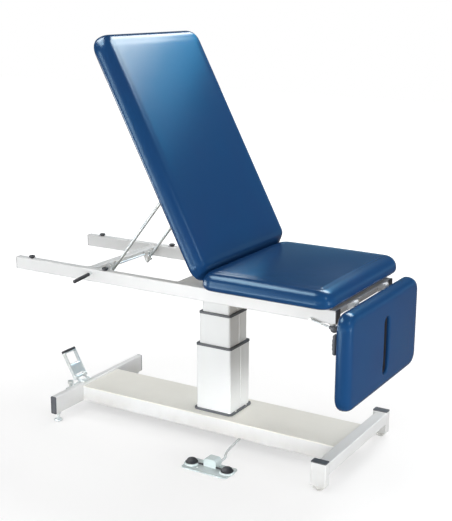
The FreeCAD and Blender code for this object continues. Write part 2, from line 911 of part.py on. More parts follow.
def back_hinge_arm():
    """Strap under the back board with a knuckle at the hinge and a fork for the lock rod's eye."""
    x, z = back_pivot.x, back_pivot.z
    y0 = back_arm_y - back_arm_width / 2
    y1 = back_arm_y + back_arm_width / 2
    clevis_x = x - back_clevis_reach
    clevis_z = z - back_clevis_drop
    strap_bottom = board_bottom - back_arm_thickness
    r = clevis_radius
    cheeks = plate_xz(
        [(clevis_x - r, clevis_z), (clevis_x + r, clevis_z),
         (clevis_x + 2 * r, board_bottom), (clevis_x - r, board_bottom)], y0, y1)
    arm = joined([
        box(clevis_x - r, x, y0, y1, strap_bottom, board_bottom),
        along_y(x, z, y0, y1, back_knuckle_radius),
        cheeks, along_y(clevis_x, clevis_z, y0, y1, r)])
    half = clevis_slot / 2
    slot = box(
        clevis_x - 2 * r, clevis_x + 3 * r, back_arm_y - half, back_arm_y + half,
        clevis_z - 2 * r, strap_bottom)
    arm = arm.cut(slot)
    arm = arm.cut(along_y(clevis_x, clevis_z, y0, y1, rod_eye_bore))
    return arm.cut(along_y(x, z, y0, y1, hinge_pin_radius + running_gap))


def back_hinge_arms():
    arm = raised(back_hinge_arm())
    return group([arm, mirrored_y(arm)])


def drop_hinge_arm(middle_y, with_fork):
    """Strap under the drop board with a knuckle and, on the near one, a fork for the lock rod."""
    x, z = drop_pivot.x, drop_pivot.z
    r = drop_knuckle_radius
    y0 = middle_y - drop_arm_width / 2
    y1 = middle_y + drop_arm_width / 2
    strap_bottom = board_bottom - drop_arm_thickness
    pieces = [
        box(x, x + drop_arm_length, y0, y1, strap_bottom, board_bottom),
        along_y(x, z, y0, y1, r),
        plate_xz([(x, z - r), (x + 2 * r, strap_bottom), (x + r, board_bottom), (x, board_bottom)], y0, y1)]
    clevis_x = x + drop_clevis_reach
    clevis_z = z - drop_clevis_drop
    c = clevis_radius
    if with_fork:
        pieces.append(along_y(clevis_x, clevis_z, y0, y1, c))
        pieces.append(box(clevis_x - c, clevis_x + c, y0, y1, clevis_z, board_bottom))
    arm = joined(pieces)
    if with_fork:
        half = clevis_slot / 2
        slot = box(
            clevis_x - 3 * c, clevis_x + 2 * c, middle_y - half, middle_y + half,
            clevis_z - 2 * c, strap_bottom)
        arm = arm.cut(slot).cut(along_y(clevis_x, clevis_z, y0, y1, rod_eye_bore))
    return arm.cut(along_y(x, z, y0, y1, hinge_pin_radius + running_gap))


def drop_hinge_arms():
    near = hanging(drop_hinge_arm(-drop_arm_y, True))
    far = hanging(drop_hinge_arm(drop_arm_y, False))
    return group([near, far])


# Locks
def lock_ears():
    """Ears that carry the lock housings: two pairs for the back, one pair for the drop section."""
    r = lock_ear_radius
    x, z = lock_pivot.x, lock_pivot.z
    bar_room = 3 * release_bar_radius
    back_outline = [
        (lock_tube_face, tube_top), (lock_tube_face, tube_bottom), (x - r, z), (x + r, z),
        (release_bar_x + bar_room, release_bar_z), (release_bar_x + bar_room, tube_top)]
    ears = []
    for side in (-1, 1):
        for ear in ear_pair(
                back_outline, lock_pivot, r, side * back_arm_y, 2 * lock_radius,
                lock_ear_thickness, lock_stub_radius + running_gap):
            bar_hole = along_y(
                release_bar_x, release_bar_z, -rail_inner, rail_inner, release_bar_radius + running_gap)
            ears.append(ear.cut(bar_hole))
    x, z = drop_lock_pivot.x, drop_lock_pivot.z
    face = end_tube_x - cross_tube_depth / 2
    drop_outline = [
        (x - r, z), (x + r, z), (face, tube_bottom), (face, tube_top),
        (drop_lever_axis.x - r, drop_lever_axis.z + r)]
    near_ear, far_ear = ear_pair(
        drop_outline, drop_lock_pivot, r, -drop_arm_y, 2 * lock_radius,
        lock_ear_thickness, lock_stub_radius + running_gap)
    lever_hole = along_y(
        drop_lever_axis.x, drop_lever_axis.z, -rail_inner, -drop_arm_y, drop_lever_radius + running_gap)
    return group(ears + [near_ear.cut(lever_hole), far_ear])


def rod_direction(pivot, eye):
    """Unit vector from a lock's pivot to the rod's eye."""
    run = eye.sub(pivot)
    return V(run.x, 0, run.z).normalize()


def at_side(point, y):
    """The same point moved to another place across the table."""
    return V(point.x, y, point.z)


def turned(point, pivot, degrees):
    """A point turned about the Y axis through a pivot."""
    turn = FreeCAD.Rotation(V(0, 1, 0), degrees)
    return pivot.add(turn.multVec(point.sub(pivot)))


back_eye = turned(back_pivot.add(V(-back_clevis_reach, 0, -back_clevis_drop)), back_pivot, back_angle)
drop_eye_flat = drop_pivot.add(V(drop_clevis_reach, 0, -drop_clevis_drop))
drop_eye = turned(drop_eye_flat, drop_pivot, drop_hang)
back_rod_length = back_eye.sub(lock_pivot).Length + rod_tail
drop_rod_length = drop_eye_flat.sub(drop_lock_pivot).Length + rod_tail


def lock_housing(pivot, eye, y):
    """Round lock body on two stubs, bored for the rod that slides through it."""
    way = rod_direction(pivot, eye)
    middle = at_side(pivot, y)
    start = middle.sub(way * lock_half_length)
    end = middle.add(way * lock_half_length)
    reach = lock_radius + side_gap + lock_ear_thickness
    body = joined([
        bar_between(start, end, lock_radius),
        along_y(pivot.x, pivot.z, y - reach, y + reach, lock_stub_radius)])
    return body.cut(bar_between(start.sub(way), end.add(way), rod_radius + running_gap))


def lock_rod(pivot, eye, y, length):
    """Round rod with a flat eye at the section's end."""
    way = rod_direction(pivot, eye)
    top = at_side(eye, y)
    tail = top.sub(way * length)
    half = rod_eye_width / 2
    rod = joined([
        bar_between(tail, top, rod_radius),
        along_y(eye.x, eye.z, y - half, y + half, rod_eye_radius)])
    return rod.cut(along_y(eye.x, eye.z, y - half, y + half, rod_eye_bore))


def lock_housings():
    return group([lock_housing(lock_pivot, back_eye, side * back_arm_y) for side in (-1, 1)])


def lock_rods():
    return group([lock_rod(lock_pivot, back_eye, side * back_arm_y, back_rod_length) for side in (-1, 1)])


def drop_lock_housing():
    return lock_housing(drop_lock_pivot, drop_eye, -drop_arm_y)


def drop_lock_rod():
    return lock_rod(drop_lock_pivot, drop_eye, -drop_arm_y, drop_rod_length)


# Release controls
grip_start = V(release_bar_x, -rail_outer - grip_gap - release_bar_pull, release_bar_z)
grip_end = grip_start.add(V(0, -grip_length, -grip_fall))


def back_release_bar():
    """Bar across both locks and out through the near rail into its grip."""
    core_end = grip_start.y - grip_core
    return along_y(release_bar_x, release_bar_z, core_end, release_bar_far_end, release_bar_radius)


def back_release_grip():
    """Rubber grip on the bar's end, sloping down a little."""
    way = grip_end.sub(grip_start).normalize()
    start = grip_start.add(way * grip_round)
    grip = bar_between(start, grip_end, grip_radius)
    grip = grip.makeFillet(grip_round, [e for e in grip.Edges if e.Closed])
    return grip.cut(back_release_bar())


lever_y = -rail_outer - drop_lever_outset
knob_centre = V(drop_lever_axis.x + drop_lever_reach, lever_y, drop_lever_axis.z - drop_lever_fall)


def drop_release_lever():
    """Shaft through the near rail to the drop section's lock, with a rod to its knob."""
    inner_end = -drop_arm_y - lock_radius - side_gap
    shaft = along_y(
        drop_lever_axis.x, drop_lever_axis.z, lever_y - drop_lever_radius, inner_end, drop_lever_radius)
    return joined([shaft, bar_between(at_side(drop_lever_axis, lever_y), knob_centre, drop_lever_rod_radius)])


def drop_release_knob():
    """Ball knob on the lever's rod."""
    return Part.makeSphere(knob_radius, knob_centre).cut(drop_release_lever())


def drop_grip():
    """Pull grip with a bulged face, on the drop board's underside by its near edge."""
    x0 = drop_start + drop_grip_start
    x1 = x0 + drop_grip_length
    bottom = board_bottom - drop_grip_depth
    shoulder = bottom + drop_grip_bulge
    y0 = drop_grip_y - drop_grip_width / 2
    side = [V(x0, y0, shoulder), V((x0 + x1) / 2, y0, bottom), V(x1, y0, shoulder)]
    top = [V(x1, y0, board_bottom), V(x0, y0, board_bottom)]
    outline = Part.Wire([
        Part.Arc(side[0], side[1], side[2]).toShape(),
        Part.makeLine(side[2], top[0]), Part.makeLine(top[0], top[1]), Part.makeLine(top[1], side[0])])
    return hanging(Part.Face(outline).extrude(V(0, drop_grip_width, 0)))


# Foot switch
def bulb_places():
    """X and Y of the two air bulbs."""
    return [(switch_x + side * bulb_spacing / 2, switch_y) for side in (-1, 1)]


def foot_switch_plate():
    """Plate on the floor with a raised rounded hump and the hose's boss behind it."""
    hx = switch_length / 2
    hy = switch_width / 2
    plate = rounded_block(
        switch_x - hx, switch_x + hx, switch_y - hy, switch_y + hy, 0, switch_plate, switch_corner)
    hump = box(
        switch_x - hump_length / 2, switch_x + hump_length / 2,
        hump_y - hump_width / 2, hump_y + hump_width / 2, 0, hump_height)
    upper = [e for e in hump.Edges
             if e.BoundBox.ZMin > hump_height - side_gap and e.BoundBox.YLength > side_gap]
    hump = hump.makeFillet(hump_round, upper)
    back = hump_y + hump_width / 2
    boss = along_y(hose_start_x, hose_start_height, back, back + hose_boss_length, hose_boss_radius)
    return joined([plate, hump, boss])


def bulb_seats():
    """Rubber rings that hold the bulbs, each with a short tube to the hump."""
    seats = []
    bottom = switch_plate
    for x, y in bulb_places():
        ring = along_z(x, y, bottom, bottom + bulb_seat_height, bulb_seat_radius)
        towards = 1 if x < switch_x else -1
        hump_face = switch_x - towards * hump_length / 2
        z = bottom + bulb_tube_height
        tube = along_x(min(x, hump_face), max(x, hump_face), y + bulb_seat_wall, z, bulb_tube_radius)
        seat = joined([ring, tube])
        bore = along_z(x, y, bottom, bottom + bulb_seat_height, bulb_seat_radius - bulb_seat_wall)
        seats.append(seat.cut(bore))
    return group(seats)


def air_bulb(place):
    """Domed rubber bulb that is pressed down into its seat."""
    x, y = bulb_places()[place]
    radius = bulb_seat_radius - bulb_seat_wall - slide_gap
    bottom = switch_plate + bulb_travel + side_gap
    top = switch_plate + bulb_height
    shoulder = bottom + bulb_skirt
    dome = top - shoulder
    sphere_radius = (radius * radius + dome * dome) / (2 * dome)
    skirt = along_z(x, y, bottom, shoulder, radius)
    cap = Part.makeSphere(sphere_radius, V(x, y, top - sphere_radius))
    cap = cap.common(along_z(x, y, shoulder, top, radius))
    return joined([skirt, cap])


# Air hose
def tube_along(route, radius):
    """Round tube of straight runs joined by arcs that are as large as the runs allow."""
    points = [V(*place) for place in route]
    edges = []
    radii = []
    last = points[0]
    for before, corner, after in zip(points, points[1:], points[2:]):
        into = corner.sub(before)
        out = after.sub(corner)
        turn = into.getAngle(out)
        trim = hose_bend_share * min(into.Length, out.Length)
        bend = trim / math.tan(turn / 2)
        radii.append(bend)
        start = corner.sub(V(into).normalize() * trim)
        end = corner.add(V(out).normalize() * trim)
        inward = V(out).normalize().sub(V(into).normalize()).normalize()
        middle = corner.add(inward * (bend / math.cos(turn / 2) - bend))
        edges.append(Part.makeLine(last, start))
        edges.append(Part.Arc(start, middle, end).toShape())
        last = end
    edges.append(Part.makeLine(last, points[-1]))
    path = Part.Wire(edges)
    ring = Part.Wire([Part.makeCircle(radius, points[0], points[1].sub(points[0]))])
    tube = path.makePipeShell([ring], True, False)
    expected = math.pi * radius * radius * path.Length
    print("hose bend radii", [round(r) for r in radii])
    print("hose length", round(path.Length), "volume share", round(tube.Volume / expected, 4))
    return tube


def air_hose():
    """Air hose from the foot switch to the gland, with square ends."""
    return tube_along(hose_route, hose_radius)


nodes = {
    "base_side_rail_near": base_side_rail(-1),
    "base_side_rail_far": base_side_rail(1),
    "base_cover_plate": base_cover_plate(),
    "head_beam": head_beam(),
    "foot_beam": foot_beam(),
    "foot_post_near": foot_post(-1),
    "foot_post_far": foot_post(1),
    "base_end_caps": base_end_caps(),
    "axle_shafts": axle_shafts(),
    "levelling_feet": levelling_feet(),
    "base_bolts": base_bolts(),
    "foot_wheel_near": foot_wheel(-1),
    "foot_wheel_far": foot_wheel(1),
    "caster_bracket": caster_bracket(),
    "caster_lever": caster_lever(),
    "caster_pad": caster_pad(),
    "caster_fork": caster_fork(),
    "caster_wheel": caster_wheel(),
    "column_outer": column_outer(),
    "column_middle": column_middle(),
    "column_inner": column_inner(),
    "column_outer_gasket": column_gasket(0, outer_top),
    "column_middle_gasket": column_gasket(1, middle_top),
    "column_base_collar": column_base_collar(),
    "lift_actuator_tube": lift_actuator_tube(),
    "lift_middle_tube": lift_middle_tube(),
    "lift_rod": lift_rod(),
    "lift_gearmotor": lift_gearmotor(),
    "control_box": control_box(),
    "frame_rail_near": frame_rail(-1),
    "frame_rail_far": frame_rail(1),
    "frame_rail_caps": frame_rail_caps(),
    "column_bolster": column_bolster(),
    "frame_cross_tubes": frame_cross_tubes(),
    "rail_bumpers": rail_bumpers(),
    "hinge_ears": hinge_ears(),
    "hinge_pins": hinge_pins(),
    "lock_ears": lock_ears(),
    "seat_board": seat_board(),
    "seat_cushion": seat_cushion(),
    "back_board": back_board(),
    "back_cushion": back_cushion(),
    "back_hinge_arms": back_hinge_arms(),
    "lock_housings": lock_housings(),
    "lock_rods": lock_rods(),
    "back_release_bar": back_release_bar(),
    "back_release_grip": back_release_grip(),
    "drop_board": drop_board(),
    "drop_cushion": drop_cushion(),
    "drop_hinge_arms": drop_hinge_arms(),
    "drop_grip": drop_grip(),
    "drop_lock_housing": drop_lock_housing(),
    "drop_lock_rod": drop_lock_rod(),
    "drop_release_lever": drop_release_lever(),
    "drop_release_knob": drop_release_knob(),
    "foot_switch_plate": foot_switch_plate(),
    "bulb_seats": bulb_seats(),
    "raise_bulb": air_bulb(0),
    "lower_bulb": air_bulb(1),
    "air_hose": air_hose(),
}

# The origin is the middle of the table's footprint, without the hose
reach = [shape.BoundBox for name, shape in nodes.items() if name != "air_hose"]
origin = V(
    (min(b.XMin for b in reach) + max(b.XMax for b in reach)) / 2,
    (min(b.YMin for b in reach) + max(b.YMax for b in reach)) / 2, 0)

os.makedirs("parts", exist_ok=True)
for name, shape in nodes.items():
    shape.translate(V(0, 0, 0).sub(origin))
    shape.exportStep("parts/" + name + ".step")
    solids = shape.Solids
    state = "valid" if shape.isValid() else "BAD"
    print(name, len(solids), "solids", round(shape.Volume / 1000), "cm3", state)
print("origin", origin, len(nodes), "nodes")
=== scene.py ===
# %% [markdown]
# # Dressing a treatment table
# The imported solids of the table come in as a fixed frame: boards, tubes, column, wheels and
# joints are already where they belong. This file adds what solids can't say: soft pads, a limp
# air hose, paint, zinc, rubber and the small turned and pressed pieces. Work in metres, in the
# frame's own axes: +X towards the drop section, +Y away from the foot switch, +Z up.

# %% Load the frame
import json

import bmesh
import bpy
import numpy as np
from mathutils import Matrix, Vector

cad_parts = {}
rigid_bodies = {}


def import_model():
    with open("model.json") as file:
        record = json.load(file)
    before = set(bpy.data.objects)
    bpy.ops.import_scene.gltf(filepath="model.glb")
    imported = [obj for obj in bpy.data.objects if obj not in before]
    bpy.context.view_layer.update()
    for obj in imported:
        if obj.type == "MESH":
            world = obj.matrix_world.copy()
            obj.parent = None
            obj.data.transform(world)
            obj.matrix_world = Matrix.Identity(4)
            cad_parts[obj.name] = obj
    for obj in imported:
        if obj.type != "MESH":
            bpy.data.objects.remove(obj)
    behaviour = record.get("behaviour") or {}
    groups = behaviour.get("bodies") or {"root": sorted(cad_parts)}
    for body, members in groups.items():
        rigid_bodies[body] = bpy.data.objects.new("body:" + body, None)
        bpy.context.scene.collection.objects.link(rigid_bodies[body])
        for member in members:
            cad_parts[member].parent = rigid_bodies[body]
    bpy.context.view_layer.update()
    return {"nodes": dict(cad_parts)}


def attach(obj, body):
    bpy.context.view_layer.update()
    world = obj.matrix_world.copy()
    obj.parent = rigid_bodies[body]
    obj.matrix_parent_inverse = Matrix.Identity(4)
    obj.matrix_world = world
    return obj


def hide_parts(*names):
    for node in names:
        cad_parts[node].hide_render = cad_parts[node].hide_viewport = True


for starter in list(bpy.data.objects):
    bpy.data.objects.remove(starter)
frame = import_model()
nodes = frame["nodes"]

# %% [markdown]
# ## Camera
# The picture was taken from in front and a little above, with a long lens: verticals stay nearly
# parallel. A camera could be aimed by eye, but the tube edges gave its place, lens and the slight
# turn about its own axis by least squares, so those numbers are written down here.

# %% Camera at the photograph's angle
eye = Vector((2.2732, -3.6047, 1.854))
looked_at = Vector((0.12965, -0.0187, 0.7805))
camera_turn = np.radians(0.25)
camera_data = bpy.data.cameras.new("studio_camera")
camera_data.lens = 72.21
camera_data.sensor_width = 36.0
camera = bpy.data.objects.new("studio_camera", camera_data)
aim = (eye - looked_at).to_track_quat("Z", "Y").to_matrix().to_4x4()
camera.matrix_world = Matrix.Translation(eye) @ aim @ Matrix.Rotation(camera_turn, 4, "Z")
bpy.context.scene.collection.objects.link(camera)
bpy.context.scene.camera = camera
print("camera", round((eye - looked_at).length, 2), "m away")

# %% [markdown]
# ## Air hose
# A short clear hose carries air from the foot switch to the control box under the base. A hose is
# one smooth bend after another, so its route points are the control points of a NURBS curve,
# which never shows a corner. Order and end points are set after the points exist: before that,
# Blender keeps the curve at straight runs.

# %% Hose on its route
hose_route = np.array([
    (262.75, -277.0, 17.0), (262.75, -251.0, 17.0), (254.75, -226.0, 11.5),
    (240.75, -202.0, 9.0), (227.75, -170.0, 8.0), (221.75, -134.0, 9.5),
    (223.75, -98.0, 17.0), (229.75, -72.0, 28.5), (234.75, -48.0, 35.0),
    (234.75, -24.0, 35.0),
]) / 1000
hose_diameter = 0.010
hose_curve = bpy.data.curves.new("clear_air_hose", "CURVE")
hose_curve.dimensions = "3D"
hose_spline = hose_curve.splines.new("NURBS")
hose_spline.points.add(len(hose_route) - 1)
hose_spline.points.foreach_set("co", np.c_[hose_route, np.ones(len(hose_route))].ravel())
hose_spline.points.foreach_set("radius", np.full(len(hose_route), hose_diameter / 2))
hose_spline.order_u = 3
hose_spline.use_endpoint_u = True
hose_curve.resolution_u = 12
hose_curve.bevel_depth = 1.0
hose_curve.bevel_resolution = 5
hose_curve.use_fill_caps = True
air_hose = bpy.data.objects.new("clear_air_hose", hose_curve)
bpy.context.scene.collection.objects.link(air_hose)
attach(air_hose, "base")
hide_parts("air_hose")

# %% [markdown]
# ## Node helpers and shared effects
# Paint, rubber, zinc and vinyl all need some unevenness, so the uneven part is a node group that
# each finish uses at its own scale. Groups give back only values. The shader stays in the
# material, where an exporter can find it.

# %% Node helpers
mix_factor, mix_first, mix_second, mixed = 0, 6, 7, 2


def add_node(tree, kind, values=None, **settings):
    """A node of that kind, with its settings, and with plain values on the named inputs."""
    made = tree.nodes.new(kind)
    for key, value in settings.items():
        setattr(made, key, value)
    for key, value in (values or {}).items():
        made.inputs[key].default_value = value
    return made


def wire(tree, *wires):
    """Links in a tree, each given as (node, its output, next node, its input)."""
    for source, output, target, entry in wires:
        tree.links.new(source.outputs[output], target.inputs[entry])


def mix_colours(tree, first=(0.5, 0.5, 0.5), second=(0.5, 0.5, 0.5)):
    """A Mix node between two colours, either of which a link may replace."""
    return add_node(tree, "ShaderNodeMix", {mix_first: (*first, 1), mix_second: (*second, 1)},
                    data_type="RGBA")


def colour_ramp(tree, *stops):
    """A ramp between two stops, each a (position, colour) pair."""
    ramp = add_node(tree, "ShaderNodeValToRGB")
    for element, (position, colour) in zip(ramp.color_ramp.elements, stops):
        element.position = position
        element.color = (*colour, 1)
    return ramp


def new_group(name, inputs, outputs):
    """An empty shader node group with named inputs (kind, start value) and outputs (kind)."""
    group = bpy.data.node_groups.new(name, "ShaderNodeTree")
    for key, (kind, value) in inputs.items():
        made = group.interface.new_socket(key, in_out="INPUT", socket_type="NodeSocket" + kind)
        if value is not None:
            made.default_value = value
    for key, kind in outputs.items():
        group.interface.new_socket(key, in_out="OUTPUT", socket_type="NodeSocket" + kind)
    return group, group.nodes.new("NodeGroupInput"), group.nodes.new("NodeGroupOutput")


# %% Effect: uneven skin, for paint, plastic, rubber and castings
skin, skin_in, skin_out = new_group(
    "uneven_skin",
    {"Vector": ("Vector", None), "Texture per metre": ("Float", 600.0),
     "Patches per metre": ("Float", 5.0)},
    {"Height": "Float", "Patches": "Float"})
texture = add_node(skin, "ShaderNodeTexNoise", {"Detail": 3.0, "Roughness": 0.55})
patches = add_node(skin, "ShaderNodeTexNoise", {"Detail": 5.0, "Roughness": 0.6})
wire(skin, (skin_in, "Vector", texture, "Vector"), (skin_in, "Vector", patches, "Vector"),
     (skin_in, "Texture per metre", texture, "Scale"),
     (skin_in, "Patches per metre", patches, "Scale"),
     (texture, "Fac", skin_out, "Height"), (patches, "Fac", skin_out, "Patches"))

# %% Effect: floor dust, which gathers low down in patches
dust, dust_in, dust_out = new_group(
    "floor_dust",
    {"Vector": ("Vector", None), "Top": ("Float", 0.12), "Patches": ("Float", 0.5)},
    {"Mask": "Float"})
heights = add_node(dust, "ShaderNodeSeparateXYZ")
fall = add_node(dust, "ShaderNodeMapRange", {"From Min": 0.0, "To Min": 1.0, "To Max": 0.0})
uneven = add_node(dust, "ShaderNodeMapRange", {"From Min": 0.35, "From Max": 0.7})
both = add_node(dust, "ShaderNodeMath", operation="MULTIPLY")
wire(dust, (dust_in, "Vector", heights, 0), (heights, "Z", fall, "Value"),
     (dust_in, "Top", fall, "From Max"), (dust_in, "Patches", uneven, "Value"),
     (fall, 0, both, 0), (uneven, 0, both, 1), (both, 0, dust_out, "Mask"))

# %% Effect: drawn lines, for rolled, drawn and extruded metal
drawn, drawn_in, drawn_out = new_group(
    "drawn_lines",
    {"Vector": ("Vector", None), "Stretch": ("Vector", (1.0, 1.0, 1.0)),
     "Lines per metre": ("Float", 900.0)},
    {"Lines": "Float"})
stretch = add_node(drawn, "ShaderNodeVectorMath", operation="MULTIPLY")
lines = add_node(drawn, "ShaderNodeTexNoise", {"Detail": 2.0, "Roughness": 0.5})
wire(drawn, (drawn_in, "Vector", stretch, 0), (drawn_in, "Stretch", stretch, 1),
     (stretch, 0, lines, "Vector"), (drawn_in, "Lines per metre", lines, "Scale"),
     (lines, "Fac", drawn_out, "Lines"))
print("effects:", skin.name, dust.name, drawn.name)

# %% [markdown]
# ## Finishes
# Most of the table is one of a few finishes: sprayed white paint, moulded dark plastic, rubber,
# bright zinc. They differ in colour, gloss and how coarse the skin is, so one function makes them
# all from those words. Patches vary colour and roughness; the fine texture is a bump.

# %% A moulded, sprayed or cast finish
finishes = {}
skin_depth = 0.0004


def new_material(name, constants=None):
    """A material with plain values on its shader, then its tree, its shader and its place node.

    The place node is a Texture Coordinate, whose Object output is the point in the frame's axes.
    """
    made = bpy.data.materials.new(name)
    made.use_nodes = True
    tree = made.node_tree
    shader = tree.nodes["Principled BSDF"]
    for key, value in (constants or {}).items():
        shader.inputs[key].default_value = value
    return made, tree, shader, add_node(tree, "ShaderNodeTexCoord")


def skin_finish(name, colour, patch_colour, roughness, texture=600.0, bump=0.1, patches=5.0,
                dust_top=0.12, dust_colour=None, metallic=0.0):
    """A surface whose colour runs between two near shades in patches, roughness going with them.

    Roughness is a pair (smooth, rough). The bump is a share of the skin's depth.
    """
    finishes[name], tree, shader, place = new_material(name, {"Metallic": metallic})
    uneven = add_node(tree, "ShaderNodeGroup",
                      {"Texture per metre": texture, "Patches per metre": patches}, node_tree=skin)
    shades = shown = mix_colours(tree, colour, patch_colour)
    if dust_colour:
        low = add_node(tree, "ShaderNodeGroup", {"Top": dust_top}, node_tree=dust)
        shown = mix_colours(tree, second=dust_colour)
        wire(tree, (place, "Object", low, "Vector"), (uneven, "Patches", low, "Patches"),
             (low, "Mask", shown, mix_factor), (shades, mixed, shown, mix_first))
    gloss = add_node(tree, "ShaderNodeMapRange",
                     {"From Min": 0.3, "From Max": 0.7, "To Min": roughness[0],
                      "To Max": roughness[1]})
    relief = add_node(tree, "ShaderNodeBump", {"Strength": bump, "Distance": skin_depth})
    wire(tree, (place, "Object", uneven, "Vector"), (uneven, "Patches", shades, mix_factor),
         (shown, mixed, shader, "Base Color"), (uneven, "Patches", gloss, "Value"),
         (gloss, 0, shader, "Roughness"), (uneven, "Height", relief, "Height"),
         (relief, 0, shader, "Normal"))


skin_finish("white_paint", (0.82, 0.83, 0.83), (0.77, 0.78, 0.78), (0.30, 0.42),
            texture=420, bump=0.12, dust_colour=(0.62, 0.60, 0.56))
# The base's top plate: a cream, lighter copy of the white paint. The cream tone is painted shade of
# the top under the pads, and the extra lightness is painted light that makes up for their shadow.
skin_finish("base_top_paint", (0.88, 0.87, 0.81), (0.83, 0.82, 0.76), (0.36, 0.5),
            texture=500, bump=0.18, patches=9)
# Smoother than the white paint, and a little lighter as painted light on the column's faces.
skin_finish("column_paint", (0.85, 0.87, 0.87), (0.81, 0.83, 0.83), (0.29, 0.36),
            texture=900, bump=0.05, patches=3)
skin_finish("dark_plastic", (0.085, 0.092, 0.106), (0.104, 0.11, 0.122), (0.38, 0.52),
            texture=1500, bump=0.2, patches=20)
skin_finish("dark_rubber", (0.018, 0.019, 0.023), (0.034, 0.036, 0.042), (0.48, 0.66),
            texture=1900, bump=0.25, patches=25)
skin_finish("motor_casting", (0.26, 0.27, 0.28), (0.36, 0.37, 0.38), (0.42, 0.6),
            texture=800, bump=0.5, patches=15, metallic=0.7)
skin_finish("nylon", (0.80, 0.80, 0.78), (0.72, 0.72, 0.69), (0.34, 0.48),
            texture=700, bump=0.08, patches=18, dust_top=0.03, dust_colour=(0.45, 0.43, 0.40))
skin_finish("foot_plate_paint", (0.60, 0.70, 0.71), (0.68, 0.76, 0.76), (0.14, 0.26),
            texture=900, bump=0.06, patches=12, dust_top=0.01, dust_colour=(0.4, 0.42, 0.42))
print("skin finishes:", ", ".join(sorted(finishes)))

# %% [markdown]
# Zinc on the rods, levers and bolts is metal that was drawn to size and then plated. Plating has
# faint cloudy tints, straw and blue, and the drawing lines stay under it.

# %% Bright zinc
drawn_upwards = (1.0, 1.0, 0.06)
blue_tint, straw_tint = np.array((0.72, 0.79, 0.82)), np.array((0.84, 0.84, 0.80))


def zinc_finish(name, stretch, shade=1.0):
    """Metal with cloudy plating tints times shade; the drawn lines run where stretch is small."""
    finishes[name], tree, shader, place = new_material(name, {"Metallic": 0.55})
    clouds = add_node(tree, "ShaderNodeGroup", {"Patches per metre": 30}, node_tree=skin)
    marks = add_node(tree, "ShaderNodeGroup", {"Stretch": stretch}, node_tree=drawn)
    tints = colour_ramp(tree, (0.3, blue_tint * shade), (0.72, straw_tint * shade))
    gloss = add_node(tree, "ShaderNodeMapRange", {"To Min": 0.3, "To Max": 0.44})
    relief = add_node(tree, "ShaderNodeBump", {"Strength": 0.12, "Distance": 0.0003})
    wire(tree, (place, "Object", clouds, "Vector"), (place, "Object", marks, "Vector"),
         (clouds, "Patches", tints, "Fac"), (tints, "Color", shader, "Base Color"),
         (marks, "Lines", gloss, "Value"), (gloss, 0, shader, "Roughness"),
         (marks, "Lines", relief, "Height"), (relief, 0, shader, "Normal"))


zinc_finish("zinc", drawn_upwards)
# The long lock rods: the zinc darkened to two thirds.
zinc_finish("rod_zinc", drawn_upwards, shade=0.66)
print("zinc: plated metal with drawn lines")

# %% [markdown]
# The boards under the pads are plywood. Its face shows long wandering grain, which is noise
# stretched along the sheet, with darker late wood where the noise is high.

# %% Plywood
finishes["plywood"], wood, wood_shader, wood_place = new_material("plywood", {"Roughness": 0.62})
wood_grain = add_node(wood, "ShaderNodeGroup",
                      {"Stretch": (0.05, 1.0, 0.05), "Lines per metre": 90}, node_tree=drawn)
wood_colours = colour_ramp(wood, (0.32, (0.58, 0.42, 0.25)), (0.7, (0.36, 0.23, 0.12)))
wood_relief = add_node(wood, "ShaderNodeBump", {"Strength": 0.2, "Distance": 0.0005})
wire(wood, (wood_place, "Object", wood_grain, "Vector"),
     (wood_grain, "Lines", wood_colours, "Fac"),
     (wood_colours, "Color", wood_shader, "Base Color"),
     (wood_grain, "Lines", wood_relief, "Height"), (wood_relief, 0, wood_shader, "Normal"))
print("plywood: stretched grain")

# %% [markdown]
# The hose is clear soft plastic, a little milky. Light goes through it, so it is a glass-like
# shader with a rough surface; small dust patches change only the colour and roughness.

# %% Clear hose
clear_tube, tube, tube_shader, tube_place = new_material(
    "clear_tube", {"Transmission Weight": 0.4, "IOR": 1.4})
tube_skin = add_node(tube, "ShaderNodeGroup", {"Patches per metre": 60}, node_tree=skin)
tube_colours = mix_colours(tube, (0.95, 0.97, 0.97), (0.86, 0.89, 0.89))
tube_gloss = add_node(tube, "ShaderNodeMapRange", {"To Min": 0.12, "To Max": 0.35})
wire(tube, (tube_place, "Object", tube_skin, "Vector"),
     (tube_skin, "Patches", tube_colours, mix_factor),
     (tube_colours, mixed, tube_shader, "Base Color"),
     (tube_skin, "Patches", tube_gloss, "Value"), (tube_gloss, 0, tube_shader, "Roughness"))
finishes["clear_tube"] = clear_tube
air_hose.data.materials.append(clear_tube)
print("hose: clear, slightly milky")

# %% [markdown]
# The pads are covered in glossy blue upholstery vinyl. It is pressed with a fine pebble grain,
# so the bump comes from cell edges of a Voronoi pattern, warped a little to lose its regularity.
# The gloss is that of soft plastic, lower than glass.

# %% Blue vinyl
vinyl_grain, grain_in, grain_out = new_group(
    "pebble_grain",
    {"Vector": ("Vector", None), "Pebbles per metre": ("Float", 800.0)}, {"Height": "Float"})
warp = add_node(vinyl_grain, "ShaderNodeTexNoise", {"Scale": 300.0, "Detail": 2.0})
warp_small = add_node(vinyl_grain, "ShaderNodeVectorMath", {"Scale": 0.001}, operation="SCALE")
moved = add_node(vinyl_grain, "ShaderNodeVectorMath", operation="ADD")
cells = add_node(vinyl_grain, "ShaderNodeTexVoronoi", feature="DISTANCE_TO_EDGE")
rounded = add_node(vinyl_grain, "ShaderNodeMapRange", {"From Max": 0.3})
wire(vinyl_grain, (grain_in, "Vector", warp, "Vector"), (warp, "Color", warp_small, 0),
     (grain_in, "Vector", moved, 0), (warp_small, 0, moved, 1), (moved, 0, cells, "Vector"),
     (grain_in, "Pebbles per metre", cells, "Scale"), (cells, "Distance", rounded, "Value"),
     (rounded, 0, grain_out, "Height"))

